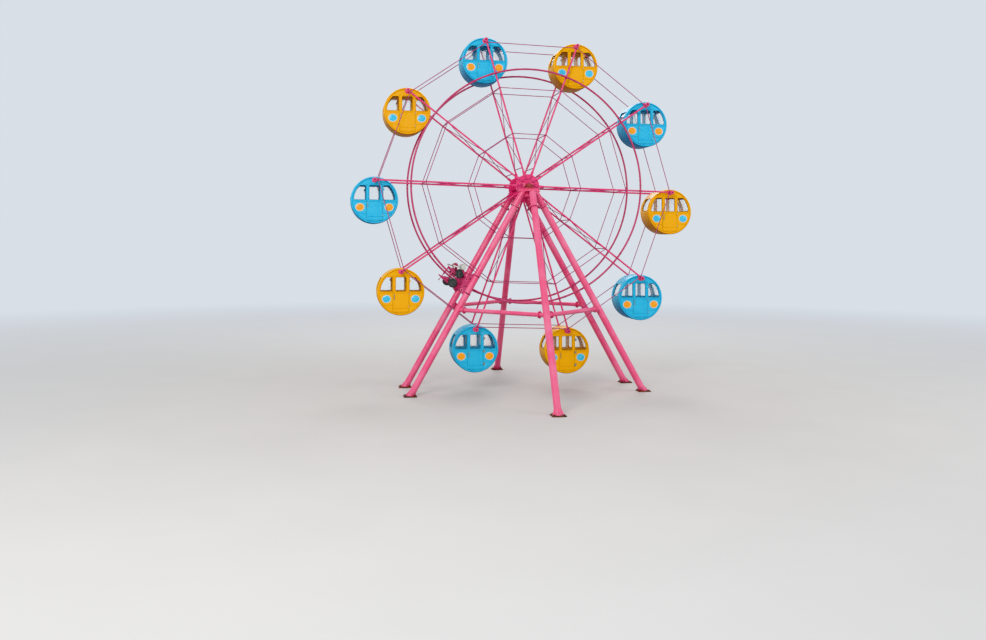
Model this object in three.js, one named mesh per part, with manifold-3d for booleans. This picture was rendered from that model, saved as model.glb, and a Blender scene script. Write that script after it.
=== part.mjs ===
// Ferris wheel with ten round cabins on a stand of six tubular legs, in millimetres.
// X runs to the right and Z up. The wheel turns about an axle along Y, and its front looks along -Y.
// The origin is on the ground under the middle of the hub.
import * as THREE from 'three';
import { mergeVertices } from 'three/addons/utils/BufferGeometryUtils.js';
import Module from 'manifold-3d';

const wasm = await Module();
wasm.setup();

// Driving dimensions of the wheel
const hubHeight = 8530;
const spokeCount = 10;
const restTurn = THREE.MathUtils.degToRad(-1.67);
const pivotRadius = 6300;
const chordPlane = 800;
const chordRadius = 38;
const rimRadius = 4850;
const rimPlane = 930;
const rimTubeRadius = 40;
const tieRadii = [800, 2270, 4240];
const tipRodRadius = 6180;
const crossTieRadius = 22;
const rodWidth = 36;
const hubFlangeRadius = 497;
const hubFlangeWidth = 100;
const hubDrumRadius = 250;
const hubBossRadius = 130;
const axleRadius = 60;
const axleHalfLength = 1150;
const seatGap = 0.3;

// Driving dimensions of a cabin, with its middle as the origin
const cabinRadius = 960;
const cabinHalfDepth = 540;
const cabinEdge = 70;
const cabinWall = 40;
const pivotBelowTop = 134;
const pinRadius = 30;
const eyeRadius = 85;
const eyeWidth = 100;
const boreSlack = 3;
const slideGap = 0.5;
const floorLevel = -790;
const windowLow = 19;
const windowHigh = 601;
const paneThick = 10;
const doorHalfWidth = 325;
const doorLow = -825;
const doorHigh = 650;
const doorGap = 6;
const doorHingeOut = 22;
const boardingCabins = [8, 9];

// Driving dimensions of the stand
const legRadius = 137;
const sideLegTopX = 120;
const sideLegTopY = 1120;
const sideFootX = 4870;
const sideFootY = 1250;
const centreLegTopY = 1630;
const centreFootY = 6270;
const sideCollar = 950;
const centreCollar = 1040;
const collarRadius = 200;
const collarWidth = 30;
const footPlate = 520;
const footPlateHeight = 40;
const gussetHeight = 220;
const tieHeight = 3450;
const tieRadius = 85;
const tieStub = 330;
const bearingPlane = 1000;
const bearingWidth = 180;
const bearingRadius = 105;
const bearingFoot = { halfWidth: 180, thick: 35 };
const seatBeam = { halfWidth: 420, far: 1250, low: 8310, high: 8430 };
const headPlate = {
  halfWidth: 450, near: 985, far: 1265, tongue: 200, tongueFar: 1930, low: 8280, high: 8310,
};
const headWeb = { thick: 24, low: 8000, arch: 8080 };

// Driving dimensions of a tyre drive, which grips the rim below and to the left of the hub
const driveAngle = THREE.MathUtils.degToRad(231.9);
const tyreRadius = 190;
const tyreWidth = 100;
const tyreGap = 5;
const tyrePinRadius = 25;
const tyreHubRadius = 60;
const tyreShoulder = 18;
const armPlane = 850;
const armThick = 20;
const armHalfWidth = 60;
const armBossRadius = 58;
const armTail = 300;
const armPinInset = 4;
const axleNut = { radius: 42, thick: 15 };
const motorArm = { near: 1010, far: 1040, halfWidth: 40 };
const bracketPlane = 1070;
const bracketThick = 30;
const bracketSpacing = 130;
const bracketBossRadius = 55;
const bracketEdge = 90;
const pinRoot = 10;
const innerArmPivot = [-2600, 4686];
const outerArmPivot = [-2803, 4259];
const motorSeat = [-2760, 5180];
const motorRadius = 115;
const motorLength = 380;
const motorFlange = { lip: 15, thick: 30 };
const motorEnd = { step: 25, length: 60 };
const borePast = 50;

const steel = { color: 0xdf4a80, roughness: 0.45, metalness: 0.3 };
const rubber = { color: 0x2b2c2d, roughness: 0.85, metalness: 0 };
const blue = { color: 0x35a5d6, roughness: 0.35, metalness: 0 };
const yellow = { color: 0xf0a60f, roughness: 0.35, metalness: 0 };
const grey = { color: 0xb9bab4, roughness: 0.5, metalness: 0.3 };

const upAxis = new THREE.Vector3(0, 0, 1);
const axleAxis = new THREE.Vector3(0, 1, 0);

// A closed three.js geometry as a solid for joining and cutting.
function solidOf(geometry) {
  geometry.deleteAttribute('normal');
  geometry.deleteAttribute('uv');
  const merged = mergeVertices(geometry, 0.001);
  const corners = merged.index.array;
  const triangles = [];
  for (let i = 0; i < corners.length; i += 3) {
    const [a, b, c] = [corners[i], corners[i + 1], corners[i + 2]];
    if (a !== b && b !== c && c !== a) {
      triangles.push(a, b, c);
    }
  }
  const mesh = new wasm.Mesh({
    numProp: 3,
    vertProperties: new Float32Array(merged.attributes.position.array),
    triVerts: new Uint32Array(triangles),
  });
  return new wasm.Manifold(mesh);
}

function joined(geometries) {
  return geometries.map(solidOf).reduce((whole, piece) => whole.add(piece));
}

// Every piece cut out of a solid.
function cut(solid, geometries) {
  return geometries.map(solidOf).reduce((rest, piece) => rest.subtract(piece), solid);
}

function geometryOf(solid) {
  const { vertProperties, triVerts } = solid.getMesh();
  const geometry = new THREE.BufferGeometry();
  geometry.setAttribute('position', new THREE.BufferAttribute(new Float32Array(vertProperties), 3));
  geometry.setIndex(new THREE.BufferAttribute(new Uint32Array(triVerts), 1));
  return geometry;
}

function meshOf(name, geometry, finish) {
  const mesh = new THREE.Mesh(geometry, new THREE.MeshStandardMaterial(finish));
  mesh.name = name;
  return mesh;
}

// A straight bar of many-sided section between two points, with one of its flats turned to a side.
function bar(from, to, radius, sides, flatTo = axleAxis) {
  const along = to.clone().sub(from);
  const length = along.length();
  along.normalize();
  const out = flatTo.clone().addScaledVector(along, -flatTo.dot(along)).normalize();
  const across = along.clone().cross(out);
  const middle = from.clone().add(to).multiplyScalar(0.5);
  return new THREE.CylinderGeometry(radius, radius, length, sides, 1, false, Math.PI / sides)
    .applyMatrix4(new THREE.Matrix4().makeBasis(across, along, out))
    .translate(middle.x, middle.y, middle.z);
}

// A round piece along Y between two planes, at a point of the XZ plane.
function roundPiece(x, z, radius, fromY, toY, sides) {
  return bar(new THREE.Vector3(x, fromY, z), new THREE.Vector3(x, toY, z), radius, sides, upAxis);
}

function block(lowX, highX, lowY, highY, lowZ, highZ) {
  return new THREE.BoxGeometry(highX - lowX, highY - lowY, highZ - lowZ)
    .translate((lowX + highX) / 2, (lowY + highY) / 2, (lowZ + highZ) / 2);
}

// An outline of the XZ plane made into a plate between two planes of Y.
function plate(points, fromY, toY, holes = []) {
  const outline = new THREE.Shape(points.map(([x, z]) => new THREE.Vector2(x, z)));
  for (const [x, z, radius] of holes) {
    outline.holes.push(new THREE.Path().absarc(x, z, radius, 0, 2 * Math.PI, true));
  }
  const options = { depth: Math.abs(toY - fromY), bevelEnabled: false, curveSegments: 12 };
  return new THREE.ExtrudeGeometry(outline, options)
    .rotateX(Math.PI / 2)
    .translate(0, Math.max(fromY, toY), 0);
}

// The two planes of a piece on one side of the wheel, whose distances from its middle are given.
function sidePlanes(side, near, far) {
  return [Math.min(side * near, side * far), Math.max(side * near, side * far)];
}

function sidePlate(side, points, near, far, holes = []) {
  return plate(points, ...sidePlanes(side, near, far), holes);
}

function sideRound(side, [x, z], radius, near, far, sides = 12) {
  return roundPiece(x, z, radius, ...sidePlanes(side, near, far), sides);
}

function sideBlock(side, halfWidth, near, far, low, high) {
  return block(-halfWidth, halfWidth, ...sidePlanes(side, near, far), low, high);
}

// Wheel

// Where the pieces on the outer side of the chords begin.
const chordFace = chordPlane + chordRadius * Math.cos(Math.PI / 6) + seatGap;

// Two chords that carry a cabin between their ends, held apart by ties.
function spokeGeometry() {
  const at = (radius, y) => new THREE.Vector3(radius, y, 0);
  const pieces = [];
  for (const side of [-1, 1]) {
    const y = side * chordPlane;
    pieces.push(bar(at(hubFlangeRadius + seatGap, y), at(pivotRadius, y), chordRadius, 6));
    pieces.push(roundPiece(pivotRadius, 0, eyeRadius, y - eyeWidth / 2, y + eyeWidth / 2, 10));
  }
  for (const radius of tieRadii) {
    pieces.push(bar(at(radius, -chordPlane), at(radius, chordPlane), crossTieRadius, 4, upAxis));
  }
  const bore = roundPiece(pivotRadius, 0, pinRadius + boreSlack, -axleHalfLength, axleHalfLength, 8);
  return geometryOf(cut(joined(pieces), [bore]));
}

// A rim tube on short lugs that stand on the outer side of the chords.
function rimGeometry() {
  const section = [];
  for (let i = 0; i <= 6; i += 1) {
    const angle = (i * Math.PI) / 3;
    section.push(new THREE.Vector2(
      rimRadius + rimTubeRadius * Math.cos(angle),
      rimTubeRadius * Math.sin(angle) - rimPlane,
    ));
  }
  section[6].copy(section[0]);
  const pieces = [new THREE.LatheGeometry(section, 6 * spokeCount)];
  const lug = 30;
  for (let i = 0; i < spokeCount; i += 1) {
    const lugBox = block(rimRadius - lug, rimRadius + lug, -rimPlane, -chordFace, -lug, lug);
    pieces.push(lugBox.rotateY((-i * 2 * Math.PI) / spokeCount));
  }
  return geometryOf(joined(pieces));
}

// A ten-sided ring of rods that lies against the spokes, with its corners on them.
function rodRingGeometry(radius, plane) {
  const corners = (r) => {
    const points = [];
    for (let i = 0; i < spokeCount; i += 1) {
      const angle = (i * 2 * Math.PI) / spokeCount;
      points.push(new THREE.Vector2(r * Math.cos(angle), r * Math.sin(angle)));
    }
    return points;
  };
  const half = rodWidth / 2 / Math.cos(Math.PI / spokeCount);
  const outline = new THREE.Shape(corners(radius + half));
  outline.holes.push(new THREE.Path(corners(radius - half).reverse()));
  return new THREE.ExtrudeGeometry(outline, { depth: rodWidth, bevelEnabled: false })
    .rotateX(Math.PI / 2)
    .translate(0, -plane, 0);
}

function hubGeometry() {
  const flangeSides = 2 * spokeCount;
  const cornerRadius = hubFlangeRadius / Math.cos(Math.PI / flangeSides);
  const pieces = [roundPiece(0, 0, hubDrumRadius, -chordPlane, chordPlane, flangeSides)];
  for (const side of [-1, 1]) {
    const middle = side * chordPlane;
    const low = middle - hubFlangeWidth / 2;
    const flange = new THREE.CylinderGeometry(
      cornerRadius, cornerRadius, hubFlangeWidth, flangeSides, 1, false, Math.PI / flangeSides,
    );
    pieces.push(flange.rotateY(Math.PI / 2).translate(0, middle, 0));
    pieces.push(sideRound(side, [0, 0], hubBossRadius, chordPlane, bearingPlane - 10, 16));
  }
  const bore = roundPiece(0, 0, axleRadius + seatGap, -axleHalfLength, axleHalfLength, 16);
  return geometryOf(cut(joined(pieces), [bore]));
}

// Cabins

// A drum along Y with bevelled edges.
function drum(radius, halfDepth, edge) {
  const profile = [
    [0, -halfDepth], [radius - edge, -halfDepth], [radius, edge - halfDepth],
    [radius, halfDepth - edge], [radius - edge, halfDepth], [0, halfDepth],
  ];
  return new THREE.LatheGeometry(profile.map(([r, y]) => new THREE.Vector2(r, y)), 16);
}

function sideWindow(side, fromY, toY) {
  const outline = [
    [349, windowLow], [838, windowLow], [795, 271], [700, 464], [587, windowHigh], [349, windowHigh],
  ];
  const points = outline.map(([x, z]) => [side * x, z]);
  return plate(side < 0 ? points.reverse() : points, fromY, toY);
}

function doorWindow(fromY, toY) {
  return block(-216, 216, fromY, toY, windowLow, windowHigh);
}

const hingeHeights = [450, -75, -600];
const hingeX = doorHalfWidth + doorGap + 14;
const hingeY = -cabinHalfDepth - doorHingeOut;
const knuckleHalf = 30;
const hingePinRadius = 9;

// The fixed half of a door hinge: a pin held at both ends by small brackets on the cabin's face.
function hingeBracket(z) {
  const reach = knuckleHalf + 2;
  const pin = bar(
    new THREE.Vector3(hingeX, hingeY, z - reach - 15),
    new THREE.Vector3(hingeX, hingeY, z + reach + 15),
    hingePinRadius, 12,
  );
  const face = 5 - cabinHalfDepth;
  return [
    pin,
    block(hingeX - 12, hingeX + 12, hingeY - 12, face, z + reach, z + reach + 20),
    block(hingeX - 12, hingeX + 12, hingeY - 12, face, z - reach - 20, z - reach),
  ];
}

// A hollow cabin shell with a flat floor, open middle windows, panes in the others and a pivot pin
// on each face.
function cabinGeometry(hasLooseDoor) {
  const pivotZ = cabinRadius - pivotBelowTop;
  const pieces = [drum(cabinRadius, cabinHalfDepth, cabinEdge)];
  for (const side of [-1, 1]) {
    const face = side * (cabinHalfDepth - 20);
    const shoulder = side * (chordPlane - eyeWidth / 2 - slideGap);
    const tip = side * (chordPlane + eyeWidth / 2 - 2);
    pieces.push(roundPiece(0, pivotZ, 60, Math.min(face, shoulder), Math.max(face, shoulder), 8));
    pieces.push(roundPiece(0, pivotZ, pinRadius, Math.min(face, tip), Math.max(face, tip), 8));
  }
  if (hasLooseDoor) {
    hingeHeights.forEach((z) => pieces.push(...hingeBracket(z)));
  }
  const inner = cabinRadius - cabinWall;
  const innerHalf = cabinHalfDepth - cabinWall;
  const room = solidOf(drum(inner, innerHalf, cabinEdge - 20))
    .intersect(solidOf(block(-inner, inner, -innerHalf, innerHalf, floorLevel, inner)));
  const outside = cabinHalfDepth + 20;
  const inside = innerHalf - 20;
  const paneFace = innerHalf + paneThick;
  const openings = [doorWindow(inside, outside)];
  for (const side of [-1, 1]) {
    openings.push(sideWindow(side, -outside, -paneFace));
    openings.push(sideWindow(side, paneFace, outside));
  }
  const flankRecess = solidOf(block(-1100, 1100, -360, 360, 60, 560))
    .subtract(solidOf(drum(inner + paneThick, innerHalf, 0)));
  if (hasLooseDoor) {
    const reach = doorHalfWidth + doorGap;
    const [low, high] = [doorLow - doorGap, doorHigh + doorGap];
    openings.push(block(-reach, reach, -cabinHalfDepth - 2, -inside, low, high));
  } else {
    openings.push(doorWindow(-outside, -inside));
  }
  const shell = joined(pieces).subtract(room).subtract(flankRecess);
  return geometryOf(cut(shell, openings)).translate(0, 0, -pivotZ);
}

// A door leaf with its window, and a knuckle round each hinge pin.
function doorGeometry() {
  const pivotZ = cabinRadius - pivotBelowTop;
  const innerFace = cabinWall - cabinHalfDepth;
  const pieces = [block(-doorHalfWidth, doorHalfWidth, -cabinHalfDepth, innerFace, doorLow, doorHigh)];
  for (const z of hingeHeights) {
    const low = z - knuckleHalf;
    const high = z + knuckleHalf;
    pieces.push(block(hingeX - 60, doorHalfWidth, -cabinHalfDepth - 16, -cabinHalfDepth + 4, low, high));
    pieces.push(block(doorHalfWidth - 1, hingeX, -cabinHalfDepth - 16, -cabinHalfDepth - 2, low, high));
    const ends = [low, high].map((level) => new THREE.Vector3(hingeX, hingeY, level));
    pieces.push(bar(...ends, 16, 12));
  }
  const pins = bar(
    new THREE.Vector3(hingeX, hingeY, doorLow), new THREE.Vector3(hingeX, hingeY, doorHigh),
    hingePinRadius + 0.7, 12,
  );
  const openings = [pins, doorWindow(-cabinHalfDepth - 20, innerFace + 20)];
  return geometryOf(cut(joined(pieces), openings)).translate(0, 0, -pivotZ);
}

// Stand

const legs = {
  left: { top: [-sideLegTopX, sideLegTopY], foot: [-sideFootX, sideFootY], collar: sideCollar },
  right: { top: [sideLegTopX, sideLegTopY], foot: [sideFootX, sideFootY], collar: sideCollar },
  centre: { top: [0, centreLegTopY], foot: [0, centreFootY], collar: centreCollar },
};

// The point at hub height that a leg's middle line aims at.
function legTop(side, place) {
  const [x, y] = legs[place].top;
  return new THREE.Vector3(x, side * y, hubHeight);
}

function legFoot(side, place) {
  const [x, y] = legs[place].foot;
  return new THREE.Vector3(x, side * y, 0);
}

function legPoint(side, place, height) {
  return legTop(side, place).lerp(legFoot(side, place), 1 - height / hubHeight);
}

function legDirection(side, place) {
  return legFoot(side, place).sub(legTop(side, place)).normalize();
}

// The two ends of a tie at the flanges that it is bolted to, from a side leg to the centre leg.
function tieEnds(side, place) {
  const from = legPoint(side, place, tieHeight);
  const to = legPoint(side, 'centre', tieHeight);
  const along = to.clone().sub(from).normalize();
  return {
    from, to, along,
    near: from.clone().addScaledVector(along, tieStub),
    far: to.clone().addScaledVector(along, -tieStub),
  };
}

const flangeWidth = 24;
const flangeRadius = 140;

// A short branch tube on a leg with the flange that a tie is bolted to.
function tieBranch(start, end, along) {
  return [
    bar(start, end, tieRadius, 8, upAxis),
    bar(end.clone().addScaledVector(along, -flangeWidth), end, flangeRadius, 10, upAxis),
  ];
}

function legGeometry(side, place) {
  const along = legDirection(side, place);
  const collar = legTop(side, place).addScaledVector(along, legs[place].collar + seatGap);
  const foot = legFoot(side, place);
  const tube = bar(collar, foot.clone().addScaledVector(along, 300), legRadius, 10);
  const cutOff = 2 * hubHeight;
  const aboveGround = block(-cutOff, cutOff, -cutOff, cutOff, 0, cutOff);
  const half = footPlate / 2;
  const [low, high] = [half - 40, legRadius + 30];
  const gusset = [[-low, 0], [low, 0], [high, gussetHeight], [-high, gussetHeight]];
  const rib = () => plate(gusset, -12, 12).translate(0, 0, footPlateHeight / 2);
  const pieces = [
    bar(collar, collar.clone().addScaledVector(along, collarWidth), collarRadius, 12),
    block(foot.x - half, foot.x + half, foot.y - half, foot.y + half, 0, footPlateHeight),
    rib().translate(foot.x, foot.y, 0),
    rib().rotateZ(Math.PI / 2).translate(foot.x, foot.y, 0),
  ];
  if (place === 'centre') {
    for (const neighbour of ['left', 'right']) {
      const { to, far, along: tieAlong } = tieEnds(side, neighbour);
      pieces.push(...tieBranch(to, far, tieAlong.negate()));
    }
  } else {
    const { from, near, along: tieAlong } = tieEnds(side, place);
    pieces.push(...tieBranch(from, near, tieAlong));
  }
  const trimmed = solidOf(tube).intersect(solidOf(aboveGround));
  return geometryOf(trimmed.add(joined(pieces)));
}

function tieGeometry(side, place) {
  const { near, far, along } = tieEnds(side, place);
  const start = near.clone().addScaledVector(along, seatGap);
  const end = far.clone().addScaledVector(along, -seatGap);
  return geometryOf(joined([
    bar(start, end, tieRadius, 8, upAxis),
    bar(start, start.clone().addScaledVector(along, flangeWidth), flangeRadius, 10, upAxis),
    bar(end.clone().addScaledVector(along, -flangeWidth), end, flangeRadius, 10, upAxis),
  ]));
}

// The capped bearing of one side on its seat beam, above a head plate with a flanged socket for each leg.
function bearingHeadGeometry(side) {
  const sockets = [];
  for (const place of Object.keys(legs)) {
    const along = legDirection(side, place);
    const start = legTop(side, place);
    const end = start.clone().addScaledVector(along, legs[place].collar);
    sockets.push(bar(start, end, legRadius, 8));
    sockets.push(bar(end.clone().addScaledVector(along, -collarWidth), end, collarRadius, 12));
  }
  const abovePlate = block(-2000, 2000, -3000, 3000, headPlate.high - 5, 2 * hubHeight);
  const bearingFar = bearingPlane + bearingWidth;
  const { halfWidth, near, far, tongue, tongueFar, low, high } = headPlate;
  const footTop = seatBeam.high + bearingFoot.thick;
  const webInside = low + 10;
  const acrossAt = (height) => legPoint(side, 'right', height).x;
  const web = [
    [-acrossAt(webInside), webInside], [-acrossAt(headWeb.low), headWeb.low], [-tongue, headWeb.arch],
    [tongue, headWeb.arch], [acrossAt(headWeb.low), headWeb.low], [acrossAt(webInside), webInside],
  ];
  const backAt = (height) => Math.abs(legPoint(side, 'centre', height).y);
  const rib = [
    [sideLegTopY, headWeb.arch], [backAt(headWeb.low), headWeb.low],
    [backAt(webInside), webInside], [sideLegTopY, webInside],
  ];
  const ribPlate = plate(rib, -headWeb.thick / 2, headWeb.thick / 2).rotateZ(side * Math.PI / 2);
  const head = joined([
    sideBlock(side, halfWidth, near, far, low, high),
    sideBlock(side, tongue, far - 10, tongueFar, low, high),
    sideBlock(side, seatBeam.halfWidth, bearingPlane, seatBeam.far, seatBeam.low - 5, seatBeam.high),
    sideBlock(side, bearingFoot.halfWidth, bearingPlane, bearingFar, seatBeam.high - 5, footTop),
    sideBlock(side, bearingRadius, bearingPlane, bearingFar, footTop - 5, hubHeight),
    sideRound(side, [0, hubHeight], bearingRadius, bearingPlane, bearingFar, 16),
    sidePlate(side, web, sideLegTopY, sideLegTopY + headWeb.thick),
    ribPlate,
  ]);
  const bore = sideRound(side, [0, hubHeight], axleRadius + 4, 0, axleHalfLength + slideGap, 16);
  return geometryOf(cut(cut(joined(sockets), [abovePlate]).add(head), [bore]));
}

// Tyre drives

function rimPoint(radius) {
  return [radius * Math.cos(driveAngle), hubHeight + radius * Math.sin(driveAngle)];
}

const tyreOffset = rimTubeRadius + tyreRadius + tyreGap;
const rimFlatRadius = rimRadius * Math.cos(Math.PI / (6 * spokeCount));
const innerTyre = rimPoint(rimFlatRadius - tyreOffset);
const outerTyre = rimPoint(rimRadius + tyreOffset);

// A bar of plate between two points of the XZ plane, wide enough to hold an eye at each end.
function strap(side, from, to, halfWidth, near, far) {
  const along = new THREE.Vector2(to[0] - from[0], to[1] - from[1]).normalize();
  const across = new THREE.Vector2(-along.y, along.x).multiplyScalar(halfWidth);
  const ends = [
    [from[0] - along.x * halfWidth, from[1] - along.y * halfWidth],
    [to[0] + along.x * halfWidth, to[1] + along.y * halfWidth],
  ];
  const points = [
    [ends[0][0] - across.x, ends[0][1] - across.y], [ends[1][0] - across.x, ends[1][1] - across.y],
    [ends[1][0] + across.x, ends[1][1] + across.y], [ends[0][0] + across.x, ends[0][1] + across.y],
  ];
  return sidePlate(side, points, near, far);
}

// The plate on the left leg that carries the two arm pins.
function driveBracketGeometry(side) {
  const nearLeg = (height) => {
    const point = legPoint(side, 'left', height);
    return [point.x + 20, point.z];
  };
  const [innerX, innerZ] = innerArmPivot;
  const [outerX, outerZ] = outerArmPivot;
  const outline = [
    nearLeg(4000), nearLeg(4980), [innerX - 20, innerZ + bracketEdge], [innerX - bracketEdge, innerZ],
    [outerX - bracketEdge, outerZ + 20], [outerX - 20, outerZ - bracketEdge],
  ];
  const secondPlate = bracketPlane + bracketSpacing;
  const pins = [innerArmPivot, outerArmPivot].flatMap((pivot) => [
    sideRound(side, pivot, bracketBossRadius, bracketPlane, secondPlate + bracketThick),
    sideRound(side, pivot, tyrePinRadius, armPlane - armPinInset, bracketPlane + pinRoot),
  ]);
  const body = joined([
    sidePlate(side, outline.reverse(), bracketPlane, bracketPlane + bracketThick),
    sidePlate(side, outline, secondPlate, secondPlate + bracketThick),
    ...pins,
  ]);
  const leg = bar(legPoint(side, 'left', 3000), legPoint(side, 'left', 6000), legRadius + seatGap, 10);
  return geometryOf(cut(body, [leg]));
}

// An arm plate on the wheel's side of its tyre. A long boss turns on the bracket's pin, the tyre's
// axle ends in a nut, and the plate runs on past the tyre.
function armGeometry(side, pivot, tyre, extra = []) {
  const far = armPlane + armThick;
  const nutStart = rimPlane + tyreWidth / 2 + 2 * slideGap;
  const [start, axle] = [pivot, tyre].map((point) => new THREE.Vector2(...point));
  const tail = axle.clone().addScaledVector(axle.clone().sub(start).normalize(), armTail);
  const pieces = [
    strap(side, pivot, [tail.x, tail.y], armHalfWidth, armPlane, far),
    sideRound(side, pivot, armBossRadius, armPlane, bracketPlane - slideGap),
    sideRound(side, tyre, tyrePinRadius, armPlane + armThick / 2, nutStart + axleNut.thick),
    sideRound(side, tyre, axleNut.radius, nutStart, nutStart + axleNut.thick),
    ...extra,
  ];
  const bore = sideRound(side, pivot, tyrePinRadius + boreSlack, armPlane - borePast, bracketPlane, 10);
  return geometryOf(cut(joined(pieces), [bore]));
}

// The inner arm's boss also carries the motor on a second plate in front of the tyre's edge.
function innerArmGeometry(side) {
  return armGeometry(side, innerArmPivot, innerTyre, [
    strap(side, innerArmPivot, motorSeat, motorArm.halfWidth, motorArm.near, motorArm.far),
    sideRound(side, motorSeat, motorRadius, motorArm.near, motorArm.far),
  ]);
}

// A geared motor bolted to the outer side of the inner arm.
function motorGeometry(side) {
  const start = motorArm.far + seatGap;
  return geometryOf(joined([
    sideRound(side, motorSeat, motorRadius + motorFlange.lip, start, start + motorFlange.thick, 16),
    sideRound(side, motorSeat, motorRadius, start, start + motorLength, 12),
    sideRound(side, motorSeat, motorRadius - motorEnd.step, start, start + motorLength + motorEnd.length, 12),
  ]));
}

function tyreGeometry(side, place) {
  const near = rimPlane - tyreWidth / 2;
  const far = rimPlane + tyreWidth / 2;
  const profile = [
    [0, near], [tyreRadius - tyreShoulder, near], [tyreRadius, near + tyreShoulder],
    [tyreRadius, far - tyreShoulder], [tyreRadius - tyreShoulder, far], [0, far],
  ].map(([r, y]) => new THREE.Vector2(r, side * y));
  const body = new THREE.LatheGeometry(side < 0 ? profile.reverse() : profile, 16)
    .translate(place[0], 0, place[1]);
  const hub = sideRound(side, place, tyreHubRadius, near - slideGap, far + slideGap);
  const bore = sideRound(side, place, tyrePinRadius + boreSlack, near - borePast, far + borePast, 10);
  return geometryOf(cut(joined([body, hub]), [bore]));
}

// Assembly

const wheel = new THREE.Group();
wheel.position.set(0, 0, hubHeight);
wheel.rotation.y = -restTurn;
const spoke = spokeGeometry();
for (let i = 0; i < spokeCount; i += 1) {
  const mesh = meshOf(`spoke_${i + 1}`, spoke, steel);
  mesh.rotation.y = (-i * 2 * Math.PI) / spokeCount;
  wheel.add(mesh);
}
wheel.add(meshOf('hub', hubGeometry(), steel));
const axle = roundPiece(0, 0, axleRadius, -axleHalfLength, axleHalfLength, 16);
wheel.add(meshOf('main_axle', axle, grey));
const rim = rimGeometry();
const rings = {
  inner_rods: rodRingGeometry(tieRadii[1], chordFace),
  outer_rods: rodRingGeometry(tieRadii[2], chordFace),
  tip_rods: rodRingGeometry(tipRodRadius, chordFace),
  rim,
};
for (const [name, geometry] of Object.entries(rings)) {
  wheel.add(meshOf(`front_${name}`, geometry, steel));
  wheel.add(meshOf(`rear_${name}`, geometry.clone().rotateX(Math.PI), steel));
}

const cabins = new THREE.Group();
const closedCabin = cabinGeometry(false);
const boardingCabin = cabinGeometry(true);
const door = doorGeometry();
for (let i = 0; i < spokeCount; i += 1) {
  const angle = restTurn + (i * 2 * Math.PI) / spokeCount;
  const number = i + 1;
  const finish = i % 2 === 0 ? yellow : blue;
  const boards = boardingCabins.includes(number);
  const cabin = meshOf(`cabin_${number}`, boards ? boardingCabin : closedCabin, finish);
  cabin.position.set(pivotRadius * Math.cos(angle), 0, hubHeight + pivotRadius * Math.sin(angle));
  cabins.add(cabin);
  if (boards) {
    const leaf = meshOf(`cabin_${number}_door`, door, finish);
    leaf.position.copy(cabin.position);
    cabins.add(leaf);
  }
}

const stand = new THREE.Group();
for (const [sideName, side] of [['front', -1], ['rear', 1]]) {
  for (const place of Object.keys(legs)) {
    stand.add(meshOf(`${sideName}_${place}_leg`, legGeometry(side, place), steel));
  }
  for (const place of ['left', 'right']) {
    stand.add(meshOf(`${sideName}_${place}_tie`, tieGeometry(side, place), steel));
  }
  stand.add(meshOf(`${sideName}_bearing_head`, bearingHeadGeometry(side), steel));
  stand.add(meshOf(`${sideName}_drive_bracket`, driveBracketGeometry(side), steel));
  stand.add(meshOf(`${sideName}_inner_arm`, innerArmGeometry(side), steel));
  stand.add(meshOf(`${sideName}_outer_arm`, armGeometry(side, outerArmPivot, outerTyre), steel));
  stand.add(meshOf(`${sideName}_drive_motor`, motorGeometry(side), grey));
  stand.add(meshOf(`${sideName}_inner_tyre`, tyreGeometry(side, innerTyre), rubber));
  stand.add(meshOf(`${sideName}_outer_tyre`, tyreGeometry(side, outerTyre), rubber));
}

const group = new THREE.Group();
group.add(stand, wheel, cabins);

export default group;
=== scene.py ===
import math

import bmesh
import bpy
from mathutils import Matrix, Vector


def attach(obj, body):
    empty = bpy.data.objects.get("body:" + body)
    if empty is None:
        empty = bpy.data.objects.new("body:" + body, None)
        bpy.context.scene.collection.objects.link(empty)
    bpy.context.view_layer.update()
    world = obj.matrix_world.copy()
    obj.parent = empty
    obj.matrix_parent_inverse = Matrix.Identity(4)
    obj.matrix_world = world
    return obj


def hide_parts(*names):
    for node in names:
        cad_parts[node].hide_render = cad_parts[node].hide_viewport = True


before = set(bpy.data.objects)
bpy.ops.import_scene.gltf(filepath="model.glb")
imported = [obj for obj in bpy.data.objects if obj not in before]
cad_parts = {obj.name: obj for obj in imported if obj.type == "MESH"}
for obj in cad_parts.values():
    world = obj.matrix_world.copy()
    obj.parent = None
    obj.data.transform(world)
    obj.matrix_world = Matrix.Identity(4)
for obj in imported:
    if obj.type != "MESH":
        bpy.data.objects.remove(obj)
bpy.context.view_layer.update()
print("frame loaded")

# The axle runs along Y, the front looks along -Y, and spoke angles count from the right, upwards.
wheel = {
    "hub": Vector((0, 0, 8.53)),
    "turn": -1.67,
    "spokes": 10,
    "pivotRadius": 6.3,
    "chordPlane": 0.8,
    "chordRadius": 0.036,
    "tieRadii": (0.8, 2.27, 4.24),
    "rimRadius": 4.85,
    "rimPlane": 0.93,
    "rimTube": 0.04,
    "rodPlane": 0.852,
    "rodRadius": 0.0165,
    "tipRodRadius": 6.18,
    "flangeRadius": 0.494,
    "eyeRadius": 0.085,
    "eyeHalf": 0.048,
}
up = Vector((0, 0, 1))
sideOf = {"front": -1, "rear": 1}


def spokeAngle(number):
    return math.radians(wheel["turn"] + number * 360 / wheel["spokes"])


def wheelRay(angle):  # a unit vector in the wheel's plane
    return Vector((math.cos(angle), 0, math.sin(angle)))


def turned(angle):  # from a spoke's own frame, with X out along it, to the part's frame
    return Matrix.Translation(wheel["hub"]) @ Matrix.Rotation(-angle, 4, "Y")


def pivotOf(number):
    return wheel["hub"] + wheel["pivotRadius"] * wheelRay(spokeAngle(number))


def axisOf(side):  # out along the axle
    return Vector((0, side, 0))


def span(side, near, far):  # two depths on one side, in rising order
    return sorted((side * near, side * far))


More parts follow.
